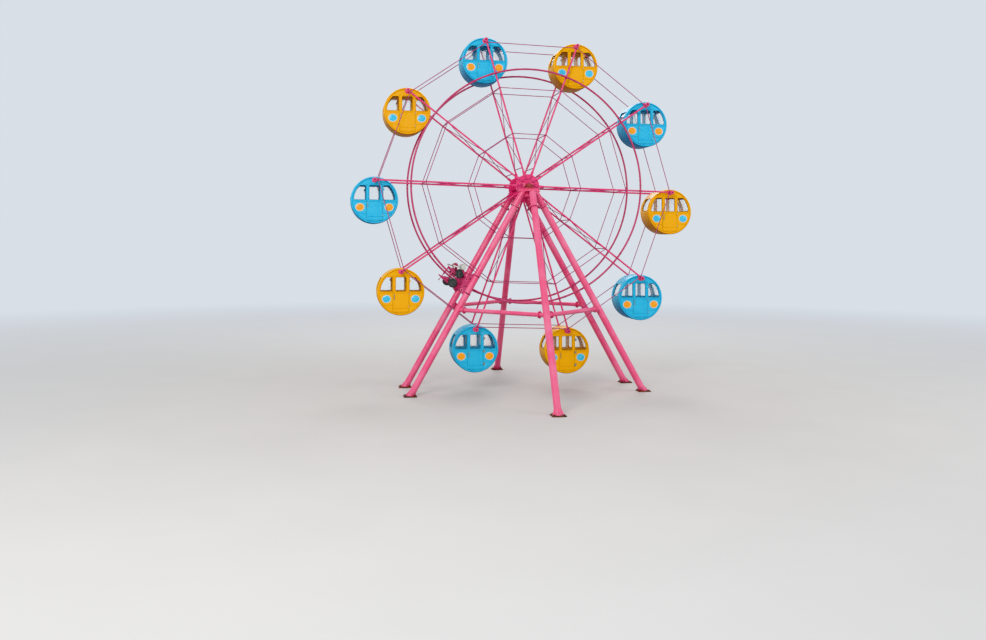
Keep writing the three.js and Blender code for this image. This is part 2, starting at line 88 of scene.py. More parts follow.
def mirrored(points):
    return [(-x, y) for x, y in reversed(points)]


# Shapes, added to a bmesh
sharpAngle = math.radians(32)
weldBead = {"sides": 6, "swell": 0.18, "step": 2.4}
# Radii and heights of a bolt, as shares of its size
boltShares = {"washer": (1.15, 0.22), "head": (0.98, 0.8), "top": (0.84, 0.92), "thread": (0.52, 0.4, 0.12)}


def circleAngles(count):
    return [2 * math.pi * i / count for i in range(count)]


def raysRound(direction, count):
    # The direction with length 1, and the rays round it.
    along = Vector(direction).normalized()
    side = along.cross(up if abs(along.z) < 0.95 else Vector((1, 0, 0))).normalized()
    out = side.cross(along)
    return along, [side * math.cos(angle) + out * math.sin(angle) for angle in circleAngles(count)]


def skin(bm, rings, closed=False):
    # Faces between a row of rings of points; a ring of one point closes a cone.
    loops = [[bm.verts.new(point) for point in ring] for ring in rings]
    for near, far in zip(loops, loops[1:] + loops[:1] if closed else loops[1:]):
        count = max(len(near), len(far))
        for j in range(count):
            k = (j + 1) % count
            corners = (near[j % len(near)], near[k % len(near)], far[k % len(far)], far[j % len(far)])
            bm.faces.new(list(dict.fromkeys(corners)))
    if not closed:
        for loop in (loops[0], loops[-1]):
            if len(loop) > 2:
                bm.faces.new(loop)


def turnedShape(bm, start, direction, profile, sides=24, hollow=False):
    # A body of revolution: profile holds (distance along, radius) pairs.
    along, rays = raysRound(direction, sides)
    rings = []
    for distance, radius in profile:
        middle = Vector(start) + along * distance
        rings.append([middle + ray * radius for ray in rays] if radius else [middle])
    skin(bm, rings, hollow)


def pipe(bm, start, direction, section, sides=40):  # section goes round the corners of its wall
    turnedShape(bm, start, direction, section, sides, True)


def rod(bm, start, end, radius, sides=16):
    run = Vector(end) - Vector(start)
    turnedShape(bm, start, run, [(0, radius), (run.length, radius)], sides)


def flange(bm, start, direction, radius, width, sides=40):
    lip = min(0.004, width / 4)
    profile = [(0, radius - lip), (lip, radius), (width - lip, radius), (width, radius - lip)]
    turnedShape(bm, start, direction, profile, sides)


def weld(bm, centre, direction, radius, size=0.009, sides=40):
    # A fillet bead round a tube.
    along, rays = raysRound(direction, sides)
    rings = []
    for i, ray in enumerate(rays):
        swell = size * (1 + weldBead["swell"] * math.sin(i * weldBead["step"]))
        turns = circleAngles(weldBead["sides"])
        bead = [(radius + swell * math.cos(turn), swell * math.sin(turn)) for turn in turns]
        rings.append([Vector(centre) + ray * out + along * step for out, step in bead])
    skin(bm, rings, True)


def hexBolt(bm, place, direction, size, stud=0.0):
    # A washer, a chamfered hexagon head and the end of its thread.
    (washer, thick), (head, rise), (top, peak), (thread, tip, taper) = boltShares.values()
    turnedShape(bm, place, direction, [(0, size * washer), (size * thick, size * washer)], 16)
    hexagon = [(0, size * head), (size * rise, size * head), (size * peak, size * top)]
    turnedShape(bm, place, direction, hexagon, 6)
    if stud:
        end = [(0, size * thread), (stud, size * thread), (stud + size * taper, size * tip)]
        turnedShape(bm, place, direction, end, 10)


def boltCircle(bm, centre, direction, radius, count, size, stud=0.0):
    along, rays = raysRound(direction, count)
    for ray in rays:
        hexBolt(bm, Vector(centre) + ray * radius, along, size, stud)


def fin(bm, corners, thickness):
    # A flat plate with the given corners in its middle plane.
    a, b, c = corners[:3]
    half = (b - a).cross(c - a).normalized() * (thickness / 2)
    skin(bm, [[p - half for p in corners], [p + half for p in corners]])


def roundedOutline(corners, radius, steps=5):
    # A closed outline with its corners replaced by arcs, of one radius or of a list of them.
    points = []
    for i, corner in enumerate(corners):
        bend = radius[i] if isinstance(radius, list) else radius
        corner = Vector(corner)
        if bend == 0:
            points.append(corner)
            continue
        before = (Vector(corners[i - 1]) - corner).normalized()
        after = (Vector(corners[(i + 1) % len(corners)]) - corner).normalized()
        half = before.angle(after) / 2
        reach = bend / math.tan(half)
        middle = corner + (before + after).normalized() * (bend / math.sin(half))
        first = corner + before * reach - middle
        last = corner + after * reach - middle
        sweep = first.angle_signed(last)
        for j in range(steps + 1):
            points.append(middle + Matrix.Rotation(-sweep * j / steps, 2) @ first)
    return points


def boxOutline(lowX, highX, lowZ, highZ, radius):
    return roundedOutline([(lowX, lowZ), (highX, lowZ), (highX, highZ), (lowX, highZ)], radius)


def offsetOutline(points, distance):
    # Positive distances grow an outline that runs anticlockwise.
    grown = []
    for i, point in enumerate(points):
        before = (point - points[i - 1]).normalized()
        after = (points[(i + 1) % len(points)] - point).normalized()
        outBefore = Vector((before.y, -before.x))
        outAfter = Vector((after.y, -after.x))
        grown.append(point + (outBefore + outAfter) * (distance / max(0.3, 1 + outBefore.dot(outAfter))))
    return grown


def outlineRing(points, offset, depth, place):
    # place turns (across, up, depth) into a point of the part.
    return [place(p.x, p.y, depth) for p in offsetOutline(points, offset)]


def outlineFrame(bm, points, section, place, closed=True):
    # A closed bar along an outline: section holds (offset, depth) corners.
    skin(bm, [outlineRing(points, offset, depth, place) for offset, depth in section], closed)


def outlinePlate(bm, points, low, high, place, edge=0.0):
    section = [(0, low), (0, high)]
    if edge:
        section = [(-edge, low), (0, low + edge), (0, high - edge), (-edge, high)]
    outlineFrame(bm, points, section, place, False)


def slab(bm, box, radius, low, high, place, edge=0.0):  # a plate on a box (low, high, low, high)
    outlinePlate(bm, boxOutline(*box, radius), low, high, place, edge)


def faceXZ(x, z, y):
    return Vector((x, y, z))


def onLevel(side):  # places (x, y away from the middle, z)
    return lambda x, y, z: Vector((x, side * y, z))


def plateBetween(bm, start, end, width, low, high, edge=0.003, rounded=True):
    # A flat strap in the XZ plane from start to end, with its faces at the two depths.
    a, b = Vector(start), Vector(end)
    along = (b - a).normalized() * (width / 2)
    across = Vector((-along.y, along.x))
    corners = [a - along - across, b + along - across, b + along + across, a - along + across]
    points = roundedOutline(corners, width * 0.45 if rounded else 0.006)
    outlinePlate(bm, points, low, high, faceXZ, edge)


def newShapes(count):
    return [bmesh.new() for _ in range(count)]


def meshFrom(name, parts):
    # One mesh out of (bmesh, material) pairs.
    whole = bmesh.new()
    for index, (bm, material) in enumerate(parts):
        bmesh.ops.recalc_face_normals(bm, faces=bm.faces)
        for face in bm.faces:
            face.material_index = index
            face.smooth = True
        part = bpy.data.meshes.new("part")
        bm.to_mesh(part)
        bm.free()
        whole.from_mesh(part)
        bpy.data.meshes.remove(part)
    mesh = bpy.data.meshes.new(name)
    whole.to_mesh(mesh)
    whole.free()
    for bm, material in parts:
        mesh.materials.append(material)
    mesh.set_sharp_from_angle(angle=sharpAngle)
    return mesh


def newObject(name, data):
    made = bpy.data.objects.new(name, data)
    bpy.context.scene.collection.objects.link(made)
    return made


def addPiece(name, mesh, body, nodes=(), matrix=None):
    piece = newObject(name, mesh)
    if matrix is not None:
        piece.matrix_world = matrix
    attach(piece, body)
    if nodes:
        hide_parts(*nodes)


# Shader groups that several finishes share

def feed(tree, socket, value):
    # Links a socket to another, or sets a number, vector or colour on it.
    if isinstance(value, bpy.types.NodeSocket):
        tree.links.new(value, socket)
    else:
        socket.default_value = (*value, 1) if socket.type == "RGBA" else value


def addNode(tree, kind, inputs=None, **settings):
    node = tree.nodes.new(kind)
    for key, value in settings.items():
        setattr(node, key, value)
    for key, value in (inputs or {}).items():
        feed(tree, node.inputs[key], value)
    return node


def addMath(tree, operation, first, second, clamp=False):
    inputs = {0: first, 1: second}
    return addNode(tree, "ShaderNodeMath", inputs, operation=operation, use_clamp=clamp).outputs[0]


def plus(tree, first, second, clamp=False):
    return addMath(tree, "ADD", first, second, clamp)


def times(tree, first, second, clamp=False):
    return addMath(tree, "MULTIPLY", first, second, clamp)


def addMix(tree, factor, first, second):
    inputs = {0: factor, 6: first, 7: second}
    return addNode(tree, "ShaderNodeMix", inputs, data_type="RGBA").outputs[2]


def addRamp(tree, source, low, high):
    inputs = {"Value": source, "From Min": low, "From Max": high}
    return addNode(tree, "ShaderNodeMapRange", inputs, clamp=True).outputs["Result"]


def addNoise(tree, where, scale, detail=3.0, roughness=0.55):
    inputs = {"Vector": where, "Scale": scale, "Detail": detail, "Roughness": roughness}
    return addNode(tree, "ShaderNodeTexNoise", inputs).outputs[0]


def objectSpace(tree):
    return addNode(tree, "ShaderNodeTexCoord").outputs["Object"]


def newGroup(name, inputs, outputs):
    group = bpy.data.node_groups.new(name, "ShaderNodeTree")
    for label, value in inputs.items():
        kind = "NodeSocketColor" if isinstance(value, tuple) else "NodeSocketFloat"
        group.interface.new_socket(name=label, in_out="INPUT", socket_type=kind).default_value = value
    for label, kind in outputs.items():
        group.interface.new_socket(name=label, in_out="OUTPUT", socket_type=kind)
    return group, group.nodes.new("NodeGroupInput").outputs, group.nodes.new("NodeGroupOutput").inputs


def makeWeatheredPaint():
    # Sun-faded paint: a little drift of tone, chalky patches, rain streaks and fine orange peel, and
    # painted shade on the faces that look down, in the dirt colour.
    tree, given, result = newGroup("weatheredPaint", {
        "Paint": (0.8, 0.1, 0.2, 1),
        "Faded Paint": (0.9, 0.4, 0.5, 1),
        "Dirt And Shade": (0.2, 0.15, 0.12, 1),
        "Fading": 0.4,
        "Dirt Amount": 0.3,
        "Roughness": 0.35,
        "Scale": 1.0,
        "Underside Shade": 0.0,
    }, {"Color": "NodeSocketColor", "Roughness": "NodeSocketFloat", "Height": "NodeSocketFloat"})
    place = addNode(tree, "ShaderNodeTexCoord").outputs
    scaling = {0: place["Object"], "Scale": given["Scale"]}
    where = addNode(tree, "ShaderNodeVectorMath", scaling, operation="SCALE").outputs[0]
    patches = addNoise(tree, where, 1.7, 4)
    fade = times(tree, addRamp(tree, patches, 0.42, 0.72), given["Fading"], True)
    colour = addMix(tree, fade, given["Paint"], given["Faded Paint"])
    # rain streaks, drawn out along Z
    drawn = addNode(tree, "ShaderNodeVectorMath", {0: where, 1: (9, 9, 0.8)}, operation="MULTIPLY")
    streaks = addRamp(tree, addNoise(tree, drawn.outputs[0], 2.2, 5, 0.6), 0.55, 0.78)
    specks = addRamp(tree, addNoise(tree, where, 38, 2), 0.63, 0.74)
    dirtAndShadeMask = plus(tree, times(tree, streaks, 0.55), times(tree, specks, 0.5))
    dirtAndShadeMask = times(tree, dirtAndShadeMask, given["Dirt Amount"], True)
    # painted shade on the faces that look down: they darken toward the dirt colour
    facing = addNode(tree, "ShaderNodeSeparateXYZ", {0: place["Normal"]}).outputs["Z"]
    under = addRamp(tree, facing, 0.10, -0.60)
    dirtAndShadeMask = addMath(tree, "MAXIMUM", dirtAndShadeMask, times(tree, under, given["Underside Shade"]))
    rough = plus(tree, given["Roughness"], times(tree, fade, 0.25))
    peel = addNoise(tree, where, 160, 2)
    feed(tree, result["Color"], addMix(tree, dirtAndShadeMask, colour, given["Dirt And Shade"]))
    feed(tree, result["Roughness"], plus(tree, rough, times(tree, dirtAndShadeMask, 0.3), True))
    feed(tree, result["Height"], plus(tree, times(tree, peel, 0.5), times(tree, patches, 0.5)))
    return tree


def makeRustBloom():
    # Where paint has gone: rust in blotches, strongest where Amount is high.
    inputs = {"Color": (0.8, 0.8, 0.8, 1), "Amount": 0.3, "Scale": 6.0}
    outputs = {"Color": "NodeSocketColor", "Mask": "NodeSocketFloat"}
    tree, given, result = newGroup("rustBloom", inputs, outputs)
    where = objectSpace(tree)
    blotch = addNoise(tree, where, given["Scale"], 6, 0.68)
    edge = addMath(tree, "SUBTRACT", 0.86, times(tree, given["Amount"], 0.5))
    mask = times(tree, addMath(tree, "SUBTRACT", blotch, edge), 14, True)
    rust = addMix(tree, addNoise(tree, where, 55, 4), (0.10, 0.028, 0.010), (0.34, 0.12, 0.035))
    feed(tree, result["Color"], addMix(tree, mask, given["Color"], rust))
    feed(tree, result["Mask"], mask)
    return tree


weatheredPaint, rustBloom = makeWeatheredPaint(), makeRustBloom()


def newMaterial(name):
    material = bpy.data.materials.new(name)
    material.use_nodes = True
    return material, material.node_tree


def feedShader(tree, values):
    for key, value in values.items():
        feed(tree, tree.nodes["Principled BSDF"].inputs[key], value)


def addRust(tree, colour, amount, scale):
    inputs = {"Color": colour, "Amount": amount, "Scale": scale}
    return addNode(tree, "ShaderNodeGroup", inputs, node_tree=rustBloom).outputs


def addBump(tree, height, strength, distance):
    inputs = {"Height": height, "Strength": strength, "Distance": distance}
    return addNode(tree, "ShaderNodeBump", inputs).outputs["Normal"]


def paintedFinish(name, paint, faded, dirtAndShadeColor, dirtAmount, roughness, scale, fading=0.5,
                  rust=0.0, bump=0.12, coat=0.0, undersideShade=0.0, shine=0.4):
    material, tree = newMaterial(name)
    worn = addNode(tree, "ShaderNodeGroup", {
        "Paint": paint, "Faded Paint": faded, "Dirt And Shade": dirtAndShadeColor, "Fading": fading, "Dirt Amount": dirtAmount,
        "Roughness": roughness, "Scale": scale, "Underside Shade": undersideShade,
    }, node_tree=weatheredPaint).outputs
    colour, rough = worn["Color"], worn["Roughness"]
    if rust:
        bloom = addRust(tree, colour, rust, 5.0)
        colour, rough = bloom["Color"], plus(tree, rough, times(tree, bloom["Mask"], 0.5), True)
    feedShader(tree, {
        "Base Color": colour, "Roughness": rough, "Normal": addBump(tree, worn["Height"], bump, 0.004),
        "Specular IOR Level": shine, "Coat Weight": coat, "Coat Roughness": 0.12, "IOR": 1.5,
    })
    return material


def metalFinish(name, base, roughness, rust):
    material, tree = newMaterial(name)
    where = objectSpace(tree)
    tone = addMix(tree, addNoise(tree, where, 30, 4), base, [c * 0.6 for c in base])
    bloom = addRust(tree, tone, rust, 9.0)
    rough = plus(tree, roughness, times(tree, addNoise(tree, where, 90, 3), 0.2))
    feedShader(tree, {"Metallic": 0.9})  # stays under the link
    feedShader(tree, {
        "Base Color": bloom["Color"],
        "Metallic": addMath(tree, "SUBTRACT", 0.9, bloom["Mask"], True),
        "Roughness": plus(tree, rough, times(tree, bloom["Mask"], 0.4), True),
        "Normal": addBump(tree, addNoise(tree, where, 120, 3), 0.15, 0.002),
    })
    return material


def rubberFinish(name, base, dust, dustAmount):
    material, tree = newMaterial(name)
    where = objectSpace(tree)
    patches = addRamp(tree, addNoise(tree, where, 7, 6, 0.65), 0.35, 0.75)
    cover = times(tree, patches, dustAmount, True)
    feedShader(tree, {
        "Base Color": addMix(tree, cover, base, dust),
        "Roughness": plus(tree, 0.55, times(tree, cover, 0.35), True),
        "Specular IOR Level": 0.35,
        "Normal": addBump(tree, addNoise(tree, where, 140, 3), 0.25, 0.002),
    })
    return material


def glassFinish(name, tint):
    material, tree = newMaterial(name)
    haze = addRamp(tree, addNoise(tree, objectSpace(tree), 2.0, 4, 0.5), 0.3, 0.8)
    feedShader(tree, {
        "Base Color": addMix(tree, haze, tint, [min(1, c * 1.06) for c in tint]),
        "Roughness": times(tree, haze, 0.01),
        "Alpha": plus(tree, 0.13, times(tree, haze, 0.05)),
        "Metallic": 0.0,
        "Transmission Weight": 0.9,
        "IOR": 1.45,
    })
    return material


# The third colour of each finish is both its dirt and the painted shade on faces that look down; the
# underside value sets how strongly those faces are painted darker.
pinkSteel = paintedFinish(
    "pinkSteel", (0.70, 0.055, 0.175), (0.78, 0.13, 0.27), (0.20, 0.035, 0.05),
    dirtAmount=0.4, roughness=0.36, scale=1.2, rust=0.14, coat=0.12, undersideShade=0.25,
)
pinkLegs = paintedFinish(
    "pinkLegs", (0.79, 0.105, 0.225), (0.88, 0.26, 0.40), (0.26, 0.06, 0.07),
    fading=0.6, dirtAmount=0.45, roughness=0.34, scale=0.8, rust=0.14, coat=0.15, undersideShade=0.35,
)
rimPaint = paintedFinish(
    "rimPaint", (0.46, 0.045, 0.125), (0.56, 0.12, 0.24), (0.13, 0.03, 0.04),
    dirtAmount=0.4, roughness=0.4, scale=1.5, rust=0.14, coat=0.08, undersideShade=0.3,
)
rodPaint = paintedFinish(
    "rodPaint", (0.36, 0.055, 0.140), (0.46, 0.14, 0.25), (0.12, 0.035, 0.05),
    dirtAmount=0.3, roughness=0.45, scale=2.0, rust=0.1, undersideShade=0.3,
)
castPaint = paintedFinish(
    "castPaint", (0.30, 0.055, 0.050), (0.24, 0.10, 0.055), (0.06, 0.03, 0.025),
    fading=0.7, dirtAmount=0.6, roughness=0.5, scale=5.0, rust=0.55, bump=0.3,
)
# The shells' third colours are darker tones of the shell paint, used as dirt and as strong painted shade on
# their downward faces.
yellowShell = paintedFinish(
    "yellowShell", (0.85, 0.400, 0.001), (0.90, 0.49, 0.002), (0.30, 0.090, 0.004),
    dirtAmount=0.3, roughness=0.28, scale=2.2, bump=0.07, coat=0.10, undersideShade=0.85, shine=0.25,
)
blueShell = paintedFinish(
    "blueShell", (0.045, 0.46, 0.70), (0.08, 0.60, 0.82), (0.012, 0.10, 0.26),
    dirtAmount=0.3, roughness=0.28, scale=2.2, bump=0.07, coat=0.10, undersideShade=0.85, shine=0.25,
)
skyBlueDisc = paintedFinish(
    "skyBlueDisc", (0.055, 0.45, 0.66), (0.14, 0.58, 0.76), (0.05, 0.2, 0.32),
    dirtAmount=0.15, roughness=0.22, scale=4, bump=0.05, coat=0.15,
)
orangeDisc = paintedFinish(
    "orangeDisc", (0.88, 0.33, 0.006), (0.92, 0.45, 0.03), (0.55, 0.2, 0.05),
    dirtAmount=0.15, roughness=0.22, scale=4, bump=0.05, coat=0.15,
)
paleTrim = paintedFinish(
    "paleTrim", (0.58, 0.60, 0.60), (0.66, 0.68, 0.68), (0.36, 0.32, 0.28),
    dirtAmount=0.4, roughness=0.35, scale=3, bump=0.06,
)
creamPaint = paintedFinish(
    "creamPaint", (0.66, 0.62, 0.55), (0.74, 0.71, 0.65), (0.25, 0.18, 0.12),
    dirtAmount=0.5, roughness=0.42, scale=4, rust=0.3, bump=0.1,
)
motorPaint = paintedFinish(
    "motorPaint", (0.50, 0.50, 0.46), (0.60, 0.60, 0.56), (0.16, 0.12, 0.09),
    dirtAmount=0.55, roughness=0.42, scale=4, rust=0.3, bump=0.15, undersideShade=0.4,
)
wheelPaint = paintedFinish(
    "wheelPaint", (0.085, 0.105, 0.098), (0.15, 0.17, 0.16), (0.05, 0.04, 0.035),
    fading=0.6, dirtAmount=0.6, roughness=0.5, scale=4, rust=0.35, bump=0.15,
)
plateSteel = paintedFinish(
    "plateSteel", (0.065, 0.036, 0.028), (0.12, 0.060, 0.038), (0.20, 0.11, 0.06),
    fading=0.7, dirtAmount=0.7, roughness=0.6, scale=3, rust=0.75, bump=0.3,
)
boltSteel = metalFinish("boltSteel", (0.40, 0.36, 0.35), 0.34, 0.5)
darkBolt = metalFinish("darkBolt", (0.12, 0.08, 0.08), 0.45, 0.45)
hingeSteel = metalFinish("hingeSteel", (0.42, 0.43, 0.44), 0.40, 0.15)
bareSteel = metalFinish("bareSteel", (0.40, 0.37, 0.36), 0.34, 0.25)
sealRubber = rubberFinish("sealRubber", (0.018, 0.018, 0.02), (0.10, 0.10, 0.10), 0.35)
tyreRubber = rubberFinish("tyreRubber", (0.035, 0.037, 0.038), (0.13, 0.135, 0.13), 0.6)
windowGlass = glassFinish("windowGlass", (0.90, 0.94, 0.95))
print("finishes made")


# Spokes, along X in their own frame
spokeParts = {
    "plateRun": (0.34, 0.62),
    "plateWidth": 0.088,
    "plateFace": 0.052,
    "plateThick": 0.012,
    "plateBolts": (0.345, 0.43),
    "cross": 0.0195,
    "brace": 0.015,
    "clipHalf": 0.07,
    "capScrews": (4, 0.066, 0.008),
    "eyeWeb": ((-0.08, 0.03), (-0.22, 0.03), (-0.055, 0.066)),
    "tieWeb": (0.03, 0.13, 0.11),
}


def spokeMesh():
    paint, bolts, dark = newShapes(3)
    plane, chord, end = wheel["chordPlane"], wheel["chordRadius"], wheel["pivotRadius"]
    start, rim, clip = wheel["flangeRadius"], wheel["rimRadius"], spokeParts["clipHalf"]
    run, face, thick = spokeParts["plateRun"], spokeParts["plateFace"], spokeParts["plateThick"]
    half, eye = wheel["eyeHalf"], wheel["eyeRadius"]
    out = Vector((1, 0, 0))
    for side in (-1, 1):
        y, axis = side * plane, axisOf(side)
        root = Vector((end, y, 0))
        rod(paint, (start + 0.01, y, 0), (end - 0.05, y, 0), chord, 24)
        # a fish plate on each face of the hub flange, with its bolts
        for near in (face, -face - thick):
            depths = span(side, plane + near, plane + near + thick)
            plateBetween(paint, (run[0], 0), (run[1], 0), spokeParts["plateWidth"], *depths)
        for x in spokeParts["plateBolts"]:
            hexBolt(dark, (x, y + side * (face + thick), 0), axis, 0.021, 0.03)
        # the bearing eye of a cabin pivot, with its cap and cap screws
        section = [
            (0, 0.060), (0.006, 0.078), (0.014, eye), (2 * half - 0.014, eye), (2 * half - 0.004, 0.076),
            (2 * half, 0.060), (2 * half, 0.034), (2 * half - 0.006, 0.0305), (0, 0.0315),
        ]
        pipe(paint, root - axis * half, axis, section, 36)
        count, ring, size = spokeParts["capScrews"]
        for angle in circleAngles(count):
            spot = root + wheelRay(math.pi / count + angle) * ring
            hexBolt(bolts, spot + axis * (half - 0.002), axis, size)
        weld(paint, (end - 0.088, y, 0), out, chord, 0.007, 24)
        for turn in (-1, 1):  # webs that stiffen the eye on the chord
            fin(paint, [root + Vector((x, 0, turn * z)) for x, z in spokeParts["eyeWeb"]], 0.010)
            inset, reach, depth = spokeParts["tieWeb"]
            for radius in wheel["tieRadii"]:
                corner = Vector((radius, y - side * inset, 0))
                fin(paint, (corner, corner + out * turn * reach, corner - axis * depth), 0.007)
        clipDepths = span(side, plane + 0.024, plane + 0.036)
        plateBetween(paint, (rim - clip, 0), (rim + clip, 0), 0.05, *clipDepths)
        weld(paint, (start + 0.02, y, 0), out, chord, 0.006, 24)
        for radius in wheel["tieRadii"]:
            weld(dark, (radius, side * (plane - chord), 0), (0, 1, 0), spokeParts["cross"], 0.005, 14)
    for radius in wheel["tieRadii"]:
        rod(dark, (radius, -plane, 0), (radius, plane, 0), spokeParts["cross"], 14)
    for near, far in zip(wheel["tieRadii"], wheel["tieRadii"][1:]):
        for y in (-plane, plane):
            rod(dark, (near + 0.03, -y, 0), (far - 0.03, y, 0), spokeParts["brace"], 12)
        flange(dark, ((near + far) / 2, 0, -0.006), up, 0.06, 0.012, 20)
    return meshFrom("spoke", [(paint, pinkSteel), (bolts, boltSteel), (dark, rodPaint)])


spokeShape = spokeMesh()
for number in range(wheel["spokes"]):
    node, place = f"spoke_{number + 1}", turned(spokeAngle(number))
    addPiece(f"{node}_tubes", spokeShape, "wheel", [node], place)
print("spokes made")


# Rims and rods, in the wheel's own frame
rimParts = {
    "steps": 180,
    "around": 14,
    "cheek": 0.022,
    "cheekHalf": 0.034,
    "cheekDepths": (0.838, 0.925),
    "jointTurn": 2.6,
    "jointPlate": 0.049,
}


def rimMesh(side):
    paint, bolts = newShapes(2)
    middle, tube, axis = wheel["rimRadius"], wheel["rimTube"] - 0.001, axisOf(side)
    depth = axis * wheel["rimPlane"]
    rings = []
    for angle in circleAngles(rimParts["steps"]):
        ring = []
        for turn in circleAngles(rimParts["around"]):
            out = wheelRay(angle) * (middle + tube * math.cos(turn))
            ring.append(out + depth + Vector((0, tube * math.sin(turn), 0)))
        rings.append(ring)
    skin(paint, rings, True)
    near, far = (axis * y for y in rimParts["cheekDepths"])
    for angle in circleAngles(wheel["spokes"]):
        out, tangent = wheelRay(angle), wheelRay(angle + math.pi / 2)
        for turn in (-1, 1):  # two cheek plates hold the tube off the chord
            base = out * middle + tangent * turn * rimParts["cheek"]
            reach = out * rimParts["cheekHalf"]
            corners = (near - reach, near + reach, far + reach * 0.76, far - reach * 0.76)
            fin(paint, [base + corner for corner in corners], 0.008)
        # the bolted joint of the rolled tube just past the spoke
        joint = angle + math.radians(rimParts["jointTurn"])
        along = wheelRay(joint + math.pi / 2)
        spot = wheelRay(joint) * middle + depth
        for step in (0.001, -0.011):
            flange(paint, spot + along * step, along, rimParts["jointPlate"], 0.010, 20)
        for step in (-0.044, 0.044):
            hexBolt(bolts, spot + axis * step + along * 0.011, along, 0.006)
    return meshFrom("rim", [(paint, rimPaint), (bolts, boltSteel)])


def rodRingMesh(radius, side):
    paint, bolts = newShapes(2)
    y, axis = side * wheel["rodPlane"], axisOf(side)
    spots = [wheelRay(angle) * radius + axis * wheel["rodPlane"] for angle in circleAngles(wheel["spokes"])]
    for a, b in zip(spots, spots[1:] + spots[:1]):
        along = (b - a).normalized()
        rod(paint, a + along * 0.06, b - along * 0.06, wheel["rodRadius"], 12)
        # flattened ends meet under one bolt
        for start, end in ((a - along * 0.006, a + along * 0.085), (b + along * 0.006, b - along * 0.085)):
            plateBetween(paint, start.xz, end.xz, 0.034, y - 0.0105, y + 0.0105, 0.002)
        hexBolt(bolts, a + axis * 0.010, axis, 0.010)
    return meshFrom("rods", [(paint, rodPaint), (bolts, boltSteel)])


ringRadii = {"inner": wheel["tieRadii"][1], "outer": wheel["tieRadii"][2], "tip": wheel["tipRodRadius"]}
wheelPlace = turned(spokeAngle(0))
for label, side in sideOf.items():
    addPiece(f"{label}_rim_tube", rimMesh(side), "wheel", [f"{label}_rim"], wheelPlace)
    for ring, radius in ringRadii.items():
        node, shape = f"{label}_{ring}_rods", rodRingMesh(radius, side)
        addPiece(f"{label}_{ring}_round_rods", shape, "wheel", [node], wheelPlace)
print("rims and rods made")


# Hub, with circles of bolts as (radius, count, size)
hubParts = {
    "flangeHalf": 0.05,
    "drum": 0.245,
    "boss": 0.127,
    "bossEnd": 0.988,
    "bore": 0.0615,
    "bossBolts": (0.100, 8, 0.010),
    "flangeBolts": (0.270, 20, 0.016),
    "shaft": 0.0595,
    "shaftEnd": 1.149,
    # ribs on the flange's inner and outer face: direction, inner and outer radius, depth, thickness
    "ribs": ((-1, 0.24, 0.46, 0.30, 0.014), (1, 0.125, 0.40, 0.09, 0.012)),
}


def hubMesh():
    paint, bolts = newShapes(2)
    drum, boss, bossEnd = hubParts["drum"], hubParts["boss"], hubParts["bossEnd"]
    rim = wheel["flangeRadius"]
    near, far = (wheel["chordPlane"] + turn * hubParts["flangeHalf"] for turn in (-1, 1))
    # half of the section, from the middle of the drum out to the end of the boss
    section = [
        (0.70, drum), (near - 0.015, drum + 0.005), (near, drum + 0.023), (near, rim - 0.014),
        (near + 0.010, rim), (far - 0.010, rim), (far, rim - 0.014), (far, 0.215), (far + 0.010, 0.200),
        (far + 0.020, 0.160), (far + 0.030, boss + 0.006), (0.92, boss), (bossEnd - 0.012, boss),
        (bossEnd, boss - 0.012), (bossEnd, hubParts["bore"]),
    ]
    pipe(paint, (0, 0, 0), (0, 1, 0), mirrored(section) + section, 80)
    for side in (-1, 1):
        axis = axisOf(side)
        for angle in circleAngles(wheel["spokes"]):  # ribs between the spokes
            ray = wheelRay(angle + math.pi / wheel["spokes"])
            for turn, inner, outer, depth, thick in hubParts["ribs"]:
                face = axis * (far if turn > 0 else near)
                corner = ray * inner + face
                fin(paint, (corner, ray * outer + face, corner + axis * turn * depth), thick)
        boltCircle(bolts, axis * far, axis, *hubParts["flangeBolts"], 0.02)
        boltCircle(bolts, axis * bossEnd, axis, *hubParts["bossBolts"])
    return meshFrom("hub", [(paint, pinkSteel), (bolts, darkBolt)])


def axleMesh():
    bare = bmesh.new()
    end, shaft = hubParts["shaftEnd"], hubParts["shaft"]
    half = [(end - 0.008, shaft), (end, shaft - 0.008)]
    turnedShape(bare, (0, 0, 0), (0, 1, 0), mirrored(half) + half, 48)
    return meshFrom("axle", [(bare, bareSteel)])


addPiece("hub_casting", hubMesh(), "wheel", ["hub"], wheelPlace)
addPiece("main_axle_shaft", axleMesh(), "wheel", ["main_axle"], wheelPlace)
print("hub made")


# Cabins, with the pivot at the origin and the middle of the drum below it
cabin = {
    "radius": 0.957,
    "half": 0.54,
    "wall": 0.040,
    "drop": 0.826,
    "floor": -0.79,
    "door": (-0.325, 0.325, -0.823, 0.648),
    "doorCorner": 0.045,
    "doorWindow": (-0.216, 0.216, 0.019, 0.601),
    "windowCorner": 0.05,
    "sideWindow": {"inner": 0.349, "low": 0.019, "high": 0.601, "outer": 0.84},
    "flankWindow": (-0.36, 0.36, 0.06, 0.56),
    "flankCorner": 0.06,
    "pane": (-0.0375, -0.0315),
    "paneSteps": 12,
    "lampPlace": (0.590, -0.287),
    "lampRadius": 0.142,
    "lampRing": 0.166,
    "lampStretch": 1.13,
    "belt": -0.045,
    "crease": -0.53,
    "doorCrease": -0.665,
    "handle": (-0.272, -0.12, -0.30),
    "hinge": (0.345, -0.562),
    "hingeHeights": (0.45, -0.075, -0.60),
    "hingeLeaves": ((0.265, 0.322), (0.338, 0.395)),
    "hingeBarrel": {"across": 0.330, "proud": 0.012, "half": 0.050, "radius": 0.013},
    "knuckle": {"bore": 0.0102, "radius": 0.016, "half": 0.03},
    "pad": (0.112, 0.018),
    "padBolts": (0.092, 6, 0.009),
}
boardingCabins = (8, 9)


